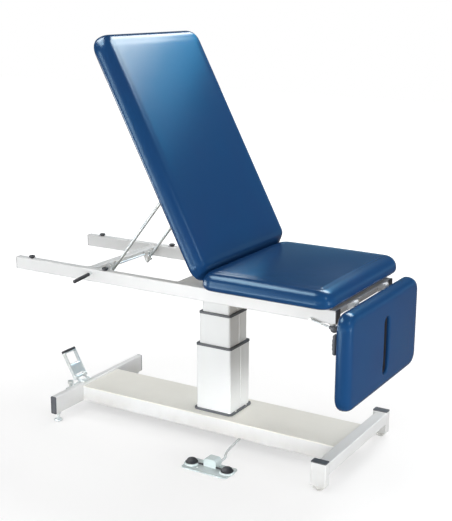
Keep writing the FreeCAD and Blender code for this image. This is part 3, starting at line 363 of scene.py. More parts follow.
finishes["blue_vinyl"], vinyl, vinyl_shader, vinyl_place = new_material(
    "blue_vinyl", {"IOR": 1.4, "Specular Tint": (0.6, 0.9, 1.0, 1)})
vinyl_cloud = add_node(vinyl, "ShaderNodeTexNoise", {"Scale": 3.5, "Detail": 1.0})
vinyl_pebbles = add_node(vinyl, "ShaderNodeGroup", node_tree=vinyl_grain)
vinyl_colours = mix_colours(vinyl, (0.007, 0.058, 0.165), (0.012, 0.044, 0.145))
vinyl_gloss = add_node(vinyl, "ShaderNodeMapRange",
                       {"From Min": 0.2, "From Max": 0.8, "To Min": 0.2, "To Max": 0.262})
vinyl_relief = add_node(vinyl, "ShaderNodeBump", {"Strength": 0.06, "Distance": 0.0003})
wire(vinyl, (vinyl_place, "Object", vinyl_cloud, "Vector"),
     (vinyl_place, "Object", vinyl_pebbles, "Vector"),
     (vinyl_cloud, "Fac", vinyl_colours, mix_factor),
     (vinyl_colours, mixed, vinyl_shader, "Base Color"),
     (vinyl_cloud, "Fac", vinyl_gloss, "Value"), (vinyl_gloss, 0, vinyl_shader, "Roughness"),
     (vinyl_pebbles, "Height", vinyl_relief, "Height"),
     (vinyl_relief, 0, vinyl_shader, "Normal"))
print("vinyl: glossy, with pebble grain")

# %% [markdown]
# ## Finishes on the solids
# Every solid came in with a plain material named after its slot, so the slot's name finds the
# finish. The three column tubes get their own paint, smoother than the welded frame's and a little
# lighter: the extra lightness is painted light on the column's faces. The long lock rods get the
# zinc darkened to two thirds.

# %% Paint the solids
own_finish = dict.fromkeys(("column_outer", "column_middle", "column_inner"), "column_paint")
own_finish.update(dict.fromkeys(("lock_rods", "drop_lock_rod"), "rod_zinc"))
for node_name, solid in nodes.items():
    slot_name = solid.data.materials[0].name.split(".")[0]
    solid.material_slots[0].material = finishes[own_finish.get(node_name, slot_name)]
print("painted", len(nodes), "solids in", len(finishes), "finishes")

# %% [markdown]
# ## Pads
# Each pad is foam on a board under a tight vinyl cover, pulled round the board's edge and stapled
# below. It could be a bevelled block, but a block has flat sides and hard corners. Here a net of
# rings follows the pad's outline from its underside over the side and the round edge to a crowned
# top. A pad's plan is its span along x, its corner radius and its cells along x and y, all in
# millimetres and lying flat.

# %% Grids and outlines
half_width = 343.0
corner_cells = 4
rim = np.arange(corner_cells + 1) / corner_cells
corner_sweep = np.r_[np.arctan(rim), np.pi / 2 - np.arctan(rim[-2::-1])]


def grid_quads(rows, columns, wrap_rows=False, wrap_columns=False):
    """Quads between neighbouring points of a grid numbered row by row, closed where it wraps."""
    row, column = np.meshgrid(np.arange(rows if wrap_rows else rows - 1),
                              np.arange(columns if wrap_columns else columns - 1), indexing="ij")
    below, beside = (row + 1) % rows, (column + 1) % columns
    corners = (row * columns + column, row * columns + beside,
               below * columns + beside, below * columns + column)
    return np.stack(corners, -1).reshape(-1, 4)


def pad_outline(span, radius, cells):
    """Points round a rectangle with round corners, counter-clockwise, and their outward normals.

    A corner is a quarter circle about its own centre; a side is the straight line to the next one,
    cut into the given number of cells, first along x and then along y.
    """
    half_length = (span[1] - span[0]) / 2
    signs = np.array([(1, 1), (-1, 1), (-1, -1), (1, -1)])
    centres = signs * (half_length - radius, half_width - radius) + (sum(span) / 2, 0)
    points, normals = [], []
    for corner in range(4):
        angle = corner_sweep + corner * np.pi / 2
        outward = np.c_[np.cos(angle), np.sin(angle)]
        arc = centres[corner] + radius * outward
        step = (centres[(corner + 1) % 4] - centres[corner]) / cells[corner % 2]
        inner = np.arange(1, cells[corner % 2])[:, None]
        points += [arc, arc[-1] + inner * step]
        normals += [outward, np.repeat(outward[-1:], len(inner), 0)]
    return np.concatenate(points), np.concatenate(normals)


def pad_middle(span, radius, cells, inset):
    """A grid that fills the outline moved in by inset, with the same points along its rim.

    Lines are straight. In a corner's square a point (a, b) goes to max(a, b) times the direction
    of (a, b), which makes the square a quarter disc.
    """
    half_length, middle = (span[1] - span[0]) / 2, sum(span) / 2
    ticks = []
    for half, count in ((half_length, cells[0]), (half_width, cells[1])):
        corner = half - radius + (radius - inset) * rim[1:]
        ticks.append(np.r_[-corner[::-1], np.linspace(radius - half, half - radius, count + 1),
                           corner])
    flat = np.stack(np.meshgrid(*ticks, indexing="ij"), -1)
    core = np.array([half_length - radius, half_width - radius])
    over = np.maximum(np.abs(flat) - core, 0)
    far = np.linalg.norm(over, axis=-1)
    share = np.where(over.min(-1) > 0, over.max(-1) / np.maximum(far, 1e-9), 1)
    flat = np.sign(flat) * (np.minimum(np.abs(flat), core) + over * share[..., None])
    return flat + (middle, 0)


print("outline of", len(pad_outline((0, 1000), 60, (80, 50))[0]), "points")

# %% [markdown]
# The section of a pad, from below: a flat underside hidden by the board, a round lower edge where
# the foam is pulled over the board, a taller round side and then the crown. A pad is closed by a
# flat middle above and below. Where it has a face slot, the rings go on to the slot, round its rim
# and down its wall instead.

# %% Rings of a pad
board_top = 741.0
cover_bottom = 729.2
lower_edge = 22.0
side_power = 0.9
edge_angles = np.radians(np.linspace(0, 90, 10))[1:]
lower_angles = np.radians(np.linspace(-90, 0, 7))


def ring_at(outline, normal, inset, height):
    """The outline moved in along its normals by an inset, at a height."""
    inset = np.zeros(len(outline)) + inset
    return np.c_[outline - normal * inset[:, None], np.zeros(len(outline)) + height]


def side_rings(outline, normal, shoulder, round_edge, overfill):
    """Rings of a pad's side, from below.

    The lower edge is a quarter circle; above it the side is a squared quarter ellipse, inset
    e(1 - cos^p a), height h sin^p a, so the pad is widest low down.
    """
    widest = cover_bottom + lower_edge
    rings = [ring_at(outline, normal, lower_edge * (1 - np.cos(angle)) - overfill,
                     widest + lower_edge * np.sin(angle)) for angle in lower_angles]
    return rings + [ring_at(outline, normal,
                            round_edge * (1 - np.cos(angle) ** side_power) - overfill,
                            widest + (shoulder - widest) * np.sin(angle) ** side_power)
                    for angle in edge_angles]


print("a pad's side:", len(lower_angles) + len(edge_angles), "rings")

# %% Closing the rings
slot_round = 8.0
slot_steps = 14
wall_levels = (board_top + 15, board_top + 3, cover_bottom)


def at_height(flat, height):
    """Flat points lifted to one height."""
    return np.c_[flat, np.full(len(flat), height)]


def slot_spokes(outline, middle, reach):
    """For each outline point, the nearest point of the slot's middle line and the way out from it."""
    spine = np.c_[np.clip(outline[:, 0], middle - reach, middle + reach), np.zeros(len(outline))]
    aim = outline - spine
    return spine, aim / np.linalg.norm(aim, axis=1)[:, None]


def closed_by_middles(rings, plan, levels):
    """Rings, and a flat middle of the plan at each (inset, height) of the levels."""
    net = np.concatenate(rings)
    quads = [grid_quads(len(rings), len(rings[0]), wrap_columns=True)]
    for inset, height in levels:
        middle = pad_middle(*plan, inset)
        quads.append(grid_quads(*middle.shape[:2]) + len(net))
        net = np.r_[net, at_height(middle.reshape(-1, 2), height)]
    return net, np.concatenate(quads)


def closed_by_slot(rings, outline, shoulder, slot):
    """Rings carried straight to the slot's rim, round it by a quarter circle and down the wall."""
    spine, aim = slot_spokes(outline, *slot[:2])
    half = slot[2]
    start, goal = rings[-1][:, :2], spine + aim * (half + slot_round)
    rings = rings + [at_height(start + share * (goal - start), shoulder)
                     for share in np.linspace(0, 1, slot_steps + 1)[1:]]
    rings += [at_height(spine + aim * (half + slot_round * (1 - np.sin(angle))),
                        shoulder - slot_round * (1 - np.cos(angle))) for angle in edge_angles]
    rings += [at_height(spine + aim * half, height) for height in wall_levels]
    return (np.concatenate(rings),
            grid_quads(len(rings), len(outline), wrap_rows=True, wrap_columns=True))


# %% The pad's net
flat_margin = 5.0
bevel_reach = 120.0


def pad_net(plan, foam, crown, edge, overfill, toe_edge=None, snug=0, bevel=0.0, slot=None):
    """Points of a pad in the flat pose, in millimetres, and the quads between them.

    With s and t the shares of the half length and half width, the crown adds
    crown(1 - s^2)(1 - t^2). Foam swells a little past the outline, but not at a snug end, which
    meets the next pad. A bevel rolls the +x end back, more the higher it is.
    """
    span = plan[0]
    outline, normal = pad_outline(*plan)
    shoulder = board_top + foam - crown
    toe = np.clip(normal[:, 0], 0, 1) ** 2
    round_edge = edge + ((toe_edge or edge) - edge) * toe
    overfill = overfill * (1 - np.clip(snug * normal[:, 0], 0, 1) ** 2)
    rings = side_rings(outline, normal, shoulder, round_edge, overfill)
    if slot:
        net, quads = closed_by_slot(rings, outline, shoulder, slot)
    else:
        top = (round_edge.max() + flat_margin, shoulder)
        underside = (lower_edge - overfill.max(), cover_bottom)
        rings.append(ring_at(outline, normal, *top))
        net, quads = closed_by_middles(rings, plan, (top, underside))
    middle, half_length = sum(span) / 2, (span[1] - span[0]) / 2
    shares = np.clip((net[:, :2] - (middle, 0)) / (half_length, half_width), -1, 1)
    arch = 1 - shares ** 2
    height = np.clip((net[:, 2] - board_top) / (shoulder - board_top), 0, 1)
    net[:, 2] += height * crown * arch[:, 0] * arch[:, 1]
    near_end = np.clip((net[:, 0] - (span[1] - bevel_reach)) / bevel_reach, 0, 1)
    net[:, 0] -= bevel * height * near_end ** 2
    return net, quads


# %% [markdown]
# The cover is then filled: cloth with a little air pressure, as foam fills a cover. Only the
# outward part of the movement is kept, evened out over the neighbours and capped at a few
# millimetres, because this vinyl is tight and shows no wrinkles. The part wrapped round the board
# is held.

# %% Fill a pad
merge_reach = 1e-6
held_below = 0.738
air_pressure = 10.0
fill_frames = 20
even_rounds = 60
side_share = 0.4


def clean_mesh(name, points, quads):
    """A mesh in metres whose doubled points are merged and whose faces are turned outwards."""
    mesh = bpy.data.meshes.new(name)
    mesh.from_pydata(points.tolist(), [], quads.tolist())
    net = bmesh.new()
    net.from_mesh(mesh)
    bmesh.ops.remove_doubles(net, verts=net.verts, dist=merge_reach)
    bmesh.ops.recalc_face_normals(net, faces=net.faces)
    net.to_mesh(mesh)
    net.free()
    return mesh


def mesh_points(mesh, key="co"):
    """The mesh's points, or their normals, as an array."""
    found = np.empty(len(mesh.vertices) * 3)
    mesh.vertices.foreach_get(key, found)
    return found.reshape(-1, 3)


def evened(values, edges, times):
    """Values averaged with those of their neighbours, several times over."""
    count = np.bincount(edges.ravel(), minlength=len(values))
    for _ in range(times):
        total = (np.bincount(edges[:, 0], values[edges[:, 1]], len(values))
                 + np.bincount(edges[:, 1], values[edges[:, 0]], len(values)))
        values = 0.5 * values + 0.5 * total / count
    return values


def stuffed(points, quads, most_move):
    """Points and quads of the net after welding and filling, in metres.

    A point moves along its normal by the cloth's own movement that way, from 0 to most_move
    millimetres. Where the normal lies flat, at the sides, only a share of most_move is kept.
    """
    mesh = clean_mesh("pad_blank", points / 1000, quads)
    blank = bpy.data.objects.new("pad_blank", mesh)
    bpy.context.scene.collection.objects.link(blank)
    before, outward = mesh_points(mesh), mesh_points(mesh, "normal")
    corners = np.empty(len(mesh.loops), int)
    mesh.loops.foreach_get("vertex_index", corners)
    swell = np.zeros(len(before))
    free = before[:, 2] > held_below
    held = blank.vertex_groups.new(name="held")
    held.add(np.flatnonzero(~free).tolist(), 1.0, "REPLACE")
    fill = blank.modifiers.new("fill", "CLOTH")
    fill.settings.use_pressure = True
    fill.settings.uniform_pressure_force = air_pressure
    fill.settings.effector_weights.gravity = 0.0
    fill.settings.vertex_group_mass = "held"
    for step in range(1, fill_frames + 1):
        bpy.context.scene.frame_set(step)
    graph = bpy.context.evaluated_depsgraph_get()
    move = mesh_points(blank.evaluated_get(graph).data) - before
    bpy.context.scene.frame_set(1)
    swell = np.sum(move * outward, axis=1) * free
    print("  filled: swells", *np.round(np.percentile(swell[free] * 1000, (5, 50, 95)), 1))
    edges = np.empty(len(mesh.edges) * 2, int)
    mesh.edges.foreach_get("vertices", edges)
    most = most_move / 1000 * (side_share + (1 - side_share) * np.abs(outward[:, 2]))
    swell = evened(np.clip(swell, 0, most), edges.reshape(-1, 2), even_rounds) * free
    bpy.data.objects.remove(blank)
    return before + outward * swell[:, None], corners.reshape(-1, 4)


# %% [markdown]
# Below, the cover's margin is turned under the board and stapled. It is a thin strip round the
# outline, with small pleats at the corners where the vinyl has to gather. It belongs to the same
# cover, so it goes into the pad's own mesh.

# %% Margin under the board
pleats_round = 16
pleat_depth = 0.9
pleat_start, pleat_reach = 15, 24
margin_section = np.array([
    (12.5, 730.6), (15.5, 728.8), (20.0, 728.1), (30.0, 728.0), (39.0, 728.1), (39.5, 728.6),
    (39.0, 729.6), (30.0, 729.7), (20.0, 729.8), (16.5, 730.2), (14.0, 731.2)])
margin_middle = 729


def stapled_margin(span, radius, cells):
    """A strip from the round lower edge to 39 mm under the board: (inset, height) round the outline.

    A pleat lowers its underside by a depth times a cosine of the corner's angle, strongest inside.
    """
    outline, normal = pad_outline(span, radius, cells)
    angle = np.arctan2(normal[:, 1], normal[:, 0])
    gather = (np.abs(normal).max(1) < 0.9999) * (0.5 - 0.5 * np.cos(pleats_round * angle))
    inset, height = margin_section[:, :1], margin_section[:, 1:]
    inside = np.clip((inset - pleat_start) / pleat_reach, 0, 1) * (height < margin_middle)
    strip = np.empty((len(margin_section), len(outline), 3))
    strip[..., :2] = outline - normal * inset[..., None]
    strip[..., 2] = height - pleat_depth * gather * inside
    return strip.reshape(-1, 3), grid_quads(*strip.shape[:2], wrap_rows=True, wrap_columns=True)


# %% [markdown]
# A pad is made lying flat and then turned about its hinge to where it stands at rest: the back
# leans at 62 degrees and the drop section hangs straight down. The seat stays flat.

# %% Place the three pads
to_row = np.array([84.75, 36.0, 0.0])
pad_plans = {
    "seat": dict(body="top_frame", outline=((88.0, 654.0), 60.0, (50, 62)),
                 pivot=(0.0, 0.0), degrees=0.0, swell=4.5,
                 shape=dict(foam=65.0, crown=9.0, edge=40.0, overfill=3.5, toe_edge=50.0, snug=1)),
    "back": dict(body="back_section", outline=((-981.0, 54.0), 60.0, (92, 58)),
                 pivot=(80.0, 726.0), degrees=62.0, swell=4.5,
                 shape=dict(foam=71.0, crown=8.0, edge=38.0, overfill=5.5, bevel=42.0)),
    "drop": dict(body="drop_section", outline=((660.0, 1042.0), 58.0, (40, 80)),
                 pivot=(667.5, 718.5), degrees=90.0, swell=0.8,
                 shape=dict(foam=55.0, crown=5.0, edge=34.0, overfill=3.5, snug=-1,
                            slot=(865.0, 92.0, 25.0))),
}


def put_piece(name, points, quads, body, slot_name, sharp=35, subdivide=0):
    """A piece in metres on its body, smooth but for edges sharper than an angle in degrees."""
    mesh = clean_mesh(name, points, quads)
    mesh.shade_smooth()
    mesh.set_sharp_from_angle(angle=np.radians(sharp))
    mesh.materials.append(finishes[slot_name])
    piece = bpy.data.objects.new(name, mesh)
    bpy.context.scene.collection.objects.link(piece)
    if subdivide:
        finer = piece.modifiers.new("finer", "SUBSURF")
        finer.levels = finer.render_levels = subdivide
    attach(piece, body)
    return piece


def at_rest(points, plan):
    """Points of the flat pose, in millimetres, turned about +Y through the plan's pivot (x, z)."""
    pivot, angle = plan["pivot"], np.radians(plan["degrees"])
    cosine, sine = np.cos(angle), np.sin(angle)
    x, z = points[:, 0] - pivot[0], points[:, 2] - pivot[1]
    return np.c_[pivot[0] + x * cosine + z * sine, points[:, 1],
                 pivot[1] - x * sine + z * cosine] + to_row


for pad_name, plan in pad_plans.items():
    points, quads = stuffed(*pad_net(plan["outline"], **plan["shape"]), plan["swell"])
    strip, strip_quads = stapled_margin(*plan["outline"])
    quads = np.r_[quads, strip_quads + len(points)]
    points = np.r_[points * 1000, strip]
    pad = put_piece(pad_name + "_pad", at_rest(points, plan) / 1000, quads, plan["body"],
                    "blue_vinyl", sharp=180, subdivide=1)
    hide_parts(pad_name + "_cushion")
    print(pad_name, "pad:", len(quads), "quads")

# %% [markdown]
# What shows of each plywood board is its underside, inside the stapled margin. The cover is round
# at the board's edge, so the board here is a little smaller than its solid and ends under the
# margin. It is a plate between two faces, with the face slot cut through the drop section's one.

# %% Boards under the pads
slot_clearance = 1.5


def board_plate(span, radius, cells, slot=None, inset=22.0, low=729.0, high=733.0):
    """Rings of a plate: lower face, edge and upper face, closed at the middle or at the slot."""
    outline, normal = pad_outline(span, radius, cells)
    rim_line = outline - normal * inset
    if slot:
        spine, aim = slot_spokes(outline, *slot[:2])
        inner = spine + aim * (slot[2] + slot_clearance)
    else:
        inner = np.c_[np.full(len(outline), sum(span) / 2), np.zeros(len(outline))]
    rings = [at_height(line, level) for line, level in ((inner, low), (rim_line, low),
                                                        (rim_line, high), (inner, high))]
    quads = grid_quads(4, len(outline), wrap_rows=bool(slot), wrap_columns=True)
    return np.concatenate(rings), quads


for pad_name, plan in pad_plans.items():
    points, quads = board_plate(*plan["outline"], slot=plan["shape"].get("slot"))
    board = put_piece(pad_name + "_board_plate", at_rest(points, plan) / 1000, quads,
                      plan["body"], "plywood")
    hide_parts(pad_name + "_board")
    print(pad_name, "board plate")

# %% [markdown]
# Below its round rim the slot in the drop section gets a dark wall of painted shade, in dark rubber,
# standing in for the shadow deep inside the slot. It is a thin wall round the slot's own outline:
# two straight sides and two half circles.

# %% Painted shade in the slot
def slot_shade_wall(middle, reach, half, low, high, thick=1.6, sunk=0.4, slope=0.8, count=48):
    """A wall of painted shade round a slot: inner and outer outlines, each at two heights, closed to a
    ring.
    """
    angle = np.linspace(0, 2 * np.pi, count, endpoint=False)
    facing = np.c_[np.cos(angle), np.sin(angle)]
    ends = np.c_[middle + reach * np.sign(facing[:, 0] + 1e-9), np.zeros(count)]
    rings = [at_height(ends + facing * out, level)
             for out, level in ((half - thick, low), (half + sunk, low), (half + sunk, high),
                                (half - thick, high - slope))]
    return np.concatenate(rings), grid_quads(4, count, wrap_rows=True, wrap_columns=True)


drop_plan = pad_plans["drop"]
drop_shape = drop_plan["shape"]
shade_wall_top = board_top + drop_shape["foam"] - drop_shape["crown"] - slot_round - 1
points, quads = slot_shade_wall(*drop_shape["slot"], low=728.6, high=shade_wall_top)
# The dark rubber wall is painted shade: the slot is dark inside only from shadow.
put_piece("slot_shade_wall", at_rest(points, drop_plan) / 1000, quads, "drop_section", "dark_rubber")
print("slot lining", len(quads), "quads")

# %% [markdown]
# ## Small pieces
# Rests, rollers, feet, bulbs and knobs are round. Each is a profile of radius and height turned
# about its own axis, which gives it the shoulders, recesses and grooves that its plain solid
# leaves out. A profile that starts and ends on the axis closes by itself, and a ring closes back
# to its own first point. All places are in millimetres, in the frame of the solids.

# %% Turning and joining
up, across = (0, 0, 1), (0, 1, 0)


def turned(profile, axis, centre, around=32, ring=False):
    """A profile of (radius, height) pairs turned about an axis through a centre.

    The point at angle a is centre + height * axis + radius * (cos a * u + sin a * v), with u and v
    square to the axis and to each other.
    """
    profile, axis = np.asarray(profile, float), np.asarray(axis, float)
    axis = axis / np.linalg.norm(axis)
    u = np.cross(axis, np.eye(3)[np.argmin(np.abs(axis))])
    u /= np.linalg.norm(u)
    angle = np.linspace(0, 2 * np.pi, around, endpoint=False)[:, None]
    spokes = np.cos(angle) * u + np.sin(angle) * np.cross(axis, u)
    points = (np.asarray(centre, float) + profile[:, 1, None, None] * axis
              + profile[:, 0, None, None] * spokes)
    return points.reshape(-1, 3), grid_quads(len(profile), around, wrap_rows=ring,
                                             wrap_columns=True)


def put_small(name, shapes, body, slot_name, *stands_for):
    """Shapes in millimetres, joined to one piece on a body, in place of the named solids."""
    starts = np.cumsum([0] + [len(points) for points, _ in shapes[:-1]])
    points = np.concatenate([points for points, _ in shapes])
    quads = np.concatenate([quads + start for (_, quads), start in zip(shapes, starts)])
    piece = put_piece(name, points / 1000, quads, body, slot_name)
    if stands_for:
        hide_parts(*stands_for)
    print(name, len(quads), "quads")


# %% [markdown]
# The mushroom rests on the rails carry the back and the seat when they lie flat. They are moulded
# rubber with a rounded rim, and the hole in the middle takes the screw.

# %% Rests on the rails
rest_profile = [(0, 717), (8, 717), (8, 720.6), (9, 721.2), (12.8, 721.4), (13.8, 722.3), (14, 724),
                (13.7, 726), (12.6, 727.7), (10.8, 728.6), (7.6, 728.7), (5.4, 728.5), (5, 727.8),
                (4.8, 725.4), (0, 725.2)]
rests_along, rails_across = (-745.25, -344.25, 234.75, 674.75), (-217, 289)
put_small("rubber_rests", [turned(rest_profile, up, (x, y, 0), 28)
                           for x in rests_along for y in rails_across],
          "top_frame", "dark_rubber", "rail_bumpers")

# %% [markdown]
# The table rolls on two nylon rollers at the foot end and a small rubber wheel at the head end.
# A moulded wheel has a raised rim, a thinner web and a hub, so its profile is a closed ring.

# %% Rollers
def wheel_profile(radius, half, rim, bore=3.6):
    """One side's rim, web and hub, and the same mirrored, as a ring of (radius, height)."""
    hub, web, inner = bore + 5.0, half - 4.0, radius - rim
    side = np.array([
        (bore, half), (hub - 0.5, half), (hub, half - 0.5), (hub + 0.2, web + 1.2),
        (hub + 1.2, web), (inner - 1.2, web), (inner - 0.2, web + 1.2), (inner, half - 0.5),
        (inner + 0.6, half), (radius - 3.4, half), (radius - 1.6, half - 0.7),
        (radius - 0.4, half - 2.0), (radius, half - 3.8)])
    return np.r_[side, side[::-1] * (1, -1)]


roller_x, roller_radius = 698.75, 27.0
roller = wheel_profile(roller_radius, 12.5, 6.0)
for side_name, y in (("near", -263.5), ("far", 335.5)):
    put_small(side_name + "_roller",
              [turned(roller, across, (roller_x, y, roller_radius), 40, ring=True)],
              "foot_wheel_" + side_name, "nylon", "foot_wheel_" + side_name)
head_axle = (-640.25, -112, 49)
put_small("head_roller", [turned(wheel_profile(25.0, 10.0, 7.0), across, head_axle, 40, ring=True)],
          "caster_wheel", "dark_rubber", "caster_wheel")

# %% [markdown]
# The head end stands on two screw feet. The thread is a saw-tooth in the profile, fine enough to
# read as a thread; the lock nut is the same turning with only six points around.

# %% Screw feet
tooth = np.arange(14.0, 40.0, 0.9)
thread = np.c_[np.where(np.arange(len(tooth)) % 2, 5.3, 6.0), tooth]
foot_profile = np.r_[[(0, 0), (16.6, 0), (17.7, 0.8), (18, 2), (18, 5.4), (17.4, 7), (15.6, 8),
                      (9.4, 9.4), (8.2, 10), (8, 12.6), (7, 13.4), (5.6, 13.5)],
                     thread, [(6, 40.5), (6, 70), (0, 70)]]
nut_profile = [(6, 31), (10.2, 31), (11.2, 31.8), (11.2, 38.4), (10.2, 39.6), (6, 39.6)]
feet_at = [(-593.25, y, 0) for y in (-261, 333)]
put_small("screw_feet", [turned(profile, up, place, count, ring=is_ring) for place in feet_at
                         for profile, count, is_ring in ((foot_profile, 28, False),
                                                         (nut_profile, 6, True))],
          "base", "zinc", "levelling_feet")

# %% [markdown]
# The handles: a ribbed rubber sleeve on the back's release bar, a ball knob with a neck on the
# drop section's lever, and a pull grip with finger hollows on the drop section. The first two are
# turned. The grip is a rounded square section carried along its length, smaller at both ends.

# %% Turned handles
rib_starts = np.arange(8.0, 84.0, 6.4)
ribs = (rib_starts[:, None] + (0, 1.0, 3.6, 4.6)).ravel()
rib_radii = np.tile((6.9, 7.7, 7.7, 6.9), len(rib_starts))
sleeve = np.r_[[(0, 0.2), (6.4, 0.2), (7.8, 1), (8, 2), (8, 5), (7.4, 6.2), (6.9, 6.8)],
               np.c_[rib_radii, ribs],
               [(7.5, 91), (8, 92), (8, 95), (7.2, 97), (5, 98.1), (0, 98.4)]]
bar_way, sleeve_start = (0, -98, -10), (-402.25, -255.5, 700)
put_small("ribbed_sleeve", [turned(sleeve, bar_way, sleeve_start, 28)],
          "back_release_bar", "dark_rubber", "back_release_grip")

ball_radius = 15
ball_angle = np.radians(np.linspace(-58, 74, 20))
ball = np.r_[[(0, -20), (5.6, -20), (6.6, -19.4), (7, -18.4), (7, -15), (7.5, -13.6)],
             np.c_[ball_radius * np.cos(ball_angle), ball_radius * np.sin(ball_angle)],
             [(3.2, 14.7), (0, 14.7)]]
lever_way, ball_middle = (98, 0, -21), (732.75, -246.5, 651)
put_small("ball_knob", [turned(ball, lever_way, ball_middle, 36)],
          "drop_release_lever", "dark_plastic", "drop_release_knob")

# %% Pull grip
def soft_square(count, power):
    """A closed unit section between a circle and a square: cos and sin raised to a power."""
    angle = np.linspace(0, 2 * np.pi, count, endpoint=False)
    return (np.sign(np.cos(angle)) * np.abs(np.cos(angle)) ** power,
            np.sign(np.sin(angle)) * np.abs(np.sin(angle)) ** power)


def round_end(left):
    """The size of a section near a rounded end, from the share of the rounding that is left."""
    return np.sqrt(1 - (1 - np.clip(left, 0, 1)) ** 2)


def swept(x, y, z):
    """A closed section at stations along a path, from arrays that broadcast to stations by section."""
    points = np.stack(np.broadcast_arrays(x, y, z), -1)
    return points.reshape(-1, 3), grid_quads(*points.shape[:2], wrap_columns=True)


grip_x, grip_y, grip_z = 762.8, -284, 605.5
grip_out, grip_beside = soft_square(36, 0.6)
along_grip = np.linspace(-1, 1, 61)[:, None]
grip_end = round_end((1 - np.abs(along_grip)) / 0.12)
grip_depth = 13 + 4 * (1 - along_grip ** 2) - 1.5 * np.sin(2.5 * np.pi * along_grip) ** 2
put_small("finger_grip", [swept(grip_x - grip_depth / 2 * (1 + grip_end * grip_out),
                                grip_y + 15 * grip_end * grip_beside, grip_z + 40.5 * along_grip)],
          "drop_section", "dark_plastic", "drop_grip")

# %% [markdown]
# The foot switch has two air bulbs. Each is a rubber dome in a seat with a pale ring around it.

# %% Bulbs and rings
bulb_x, bulb_y = {"raise_bulb": 158.2, "lower_bulb": 324.25}, -329
bulb_profile = [(0, 11.5), (20.6, 11.5), (21.6, 12.4), (21.7, 15), (21.3, 18), (20.3, 20.8),
                (18.4, 23.4), (15.6, 25.6), (15, 25.7), (14.4, 26.2), (11, 27.7), (6, 28.7), (0, 29)]
ring_profile = [(26.1, 5), (31.5, 5), (31.5, 6.5), (30.7, 8), (29.2, 10.4), (27.8, 11.2),
                (26.1, 11.2)]
for bulb_name, x in bulb_x.items():
    put_small(bulb_name + "_dome", [turned(bulb_profile, up, (x, bulb_y, 0), 36)], bulb_name,
              "dark_rubber", bulb_name)
put_small("bulb_rings", [turned(ring_profile, up, (x, bulb_y, 0), 40, ring=True)
                         for x in bulb_x.values()], "base", "foot_plate_paint")
screw_profile = [(0, 4.6), (3.8, 4.6), (3.9, 5.6), (3.2, 6.8), (1.6, 7.3), (1.2, 6.4), (0, 6.3)]
put_small("foot_plate_screw", [turned(screw_profile, up, (199, -352, 0), 20)], "base", "zinc")

# %% [markdown]
# The pedal that lets the wheel down has a rubber pad with grooves across it: a rounded square
# section carried along the pad, whose upper half dips at each groove. A pressed web with a rolled
# lip stiffens the pedal's two arms; it is one profile carried from arm to arm. Both lean back with
# the pedal.

# %% Pedal pad and web
lean = np.radians(30)


def leaned(middle, y, out, high):
    """A section (out, high), leaned about a middle (x, z), at stations y."""
    return swept(middle[0] + np.cos(lean) * out - np.sin(lean) * high, y,
                 middle[1] + np.sin(lean) * out + np.cos(lean) * high)


tread_half, tread_end, groove_gap, grooved_half = 39.5, 3, 6.5, 34
tread_out, tread_high = soft_square(40, 0.5)
along_tread = np.linspace(-tread_half, tread_half, 159)[:, None]
tread_size = round_end((tread_half - np.abs(along_tread)) / tread_end)
groove = ((0.5 - 0.5 * np.cos(2 * np.pi * along_tread / groove_gap)) ** 4
          * (np.abs(along_tread) < grooved_half))
put_small("grooved_pedal_pad",
          [leaned((-694, 248.9), -54.5 + along_tread, 11 * tread_size * tread_out,
                  6 * tread_size * tread_high * (1 - 0.24 * groove * (tread_high > 0.3)))],
          "caster_pedal", "dark_rubber", "caster_pad")

web_profile = np.array([
    (5.5, 14), (5.5, 56), (5.2, 60), (4, 63.4), (1.8, 65.6), (-0.8, 66.2), (-2.6, 65.4),
    (-1.8, 63.4), (0, 63.4), (1.6, 62), (2.6, 59), (2.9, 56), (2.9, 14)])
web_y = np.array((-89.4, -89.4, -88, -21, -19.6, -19.6))[:, None]
web_size = np.array((0, 1, 1, 1, 1, 0))[:, None, None]
web_middle = web_profile.mean(0)
web_flat = web_middle + web_size * (web_profile - web_middle)
put_small("pedal_web", [leaned((-630.2, 138), web_y, web_flat[..., 0], web_flat[..., 1])],
          "caster_pedal", "zinc")

# %% [markdown]
# The steel frame is welded. A weld bead runs along a straight joint, with a ripple every few
# millimetres; half of it sinks into the two parts. It is painted with the frame.

# %% Weld beads
bead_step = 0.75


def weld_bead(start, end, radius=2.2, ripple=3.0):
    """A turned profile along a joint: the radius grows by an eighth at each ripple."""
    way = np.subtract(end, start).astype(float)
    length = np.linalg.norm(way)
    share = np.linspace(0, 1, int(length / bead_step) + 1)
    taper = np.sqrt(np.clip(1 - (2 * share - 1) ** 20, 0, 1))
    size = radius * taper * (1 + 0.13 * np.abs(np.sin(np.pi * share * length / ripple)))
    return turned(np.c_[size, share * length], way, start, 8)


base_rails, foot_posts, frame_rails = (-95, 167), (-246, 318), (-198.5, 270.5)
base_joints = [((x, y, low), (x, y, 105)) for x, low in ((-579.2, 44), (680.8, 65))
               for y in base_rails]
base_joints += [((680.8, y, 65), (680.8, y, 113)) for y in foot_posts]
base_joints += [((682, y, 63), (730, y, 63)) for y in foot_posts]
put_small("base_welds", [weld_bead(*line) for line in base_joints], "base", "white_paint")
frame_joints = [((x, y, 691), (x, y, 714.5)) for x in (-452.3, -412.3, 688.7) for y in frame_rails]
frame_joints += [((x, y, 715), (x + 37.5, y, 715)) for x in (-451, 690) for y in frame_rails]
put_small("frame_welds", [weld_bead(*line) for line in frame_joints], "top_frame", "white_paint")

# %% [markdown]
# The covers are stapled to the boards about every 38 mm. A staple is a flat wire whose ends bend
# into the wood: a few stations along the wire, four points around it, and both ends closed. A
# seeded draw turns each one a little, as a hand-held staple gun does.

# %% Staples
draw = np.random.default_rng(11)
wire_reach = np.array((-5.5, -5.5, -4.6, 4.6, 5.5, 5.5))
wire_level = np.array((729.4, 729.4, 727.5, 727.5, 729.4, 729.4))
wire_width = np.array((0, 0.7, 0.7, 0.7, 0.7, 0))
wire_section = np.array(((-1, 0), (1, 0), (1, 0.8), (-1, 0.8)))


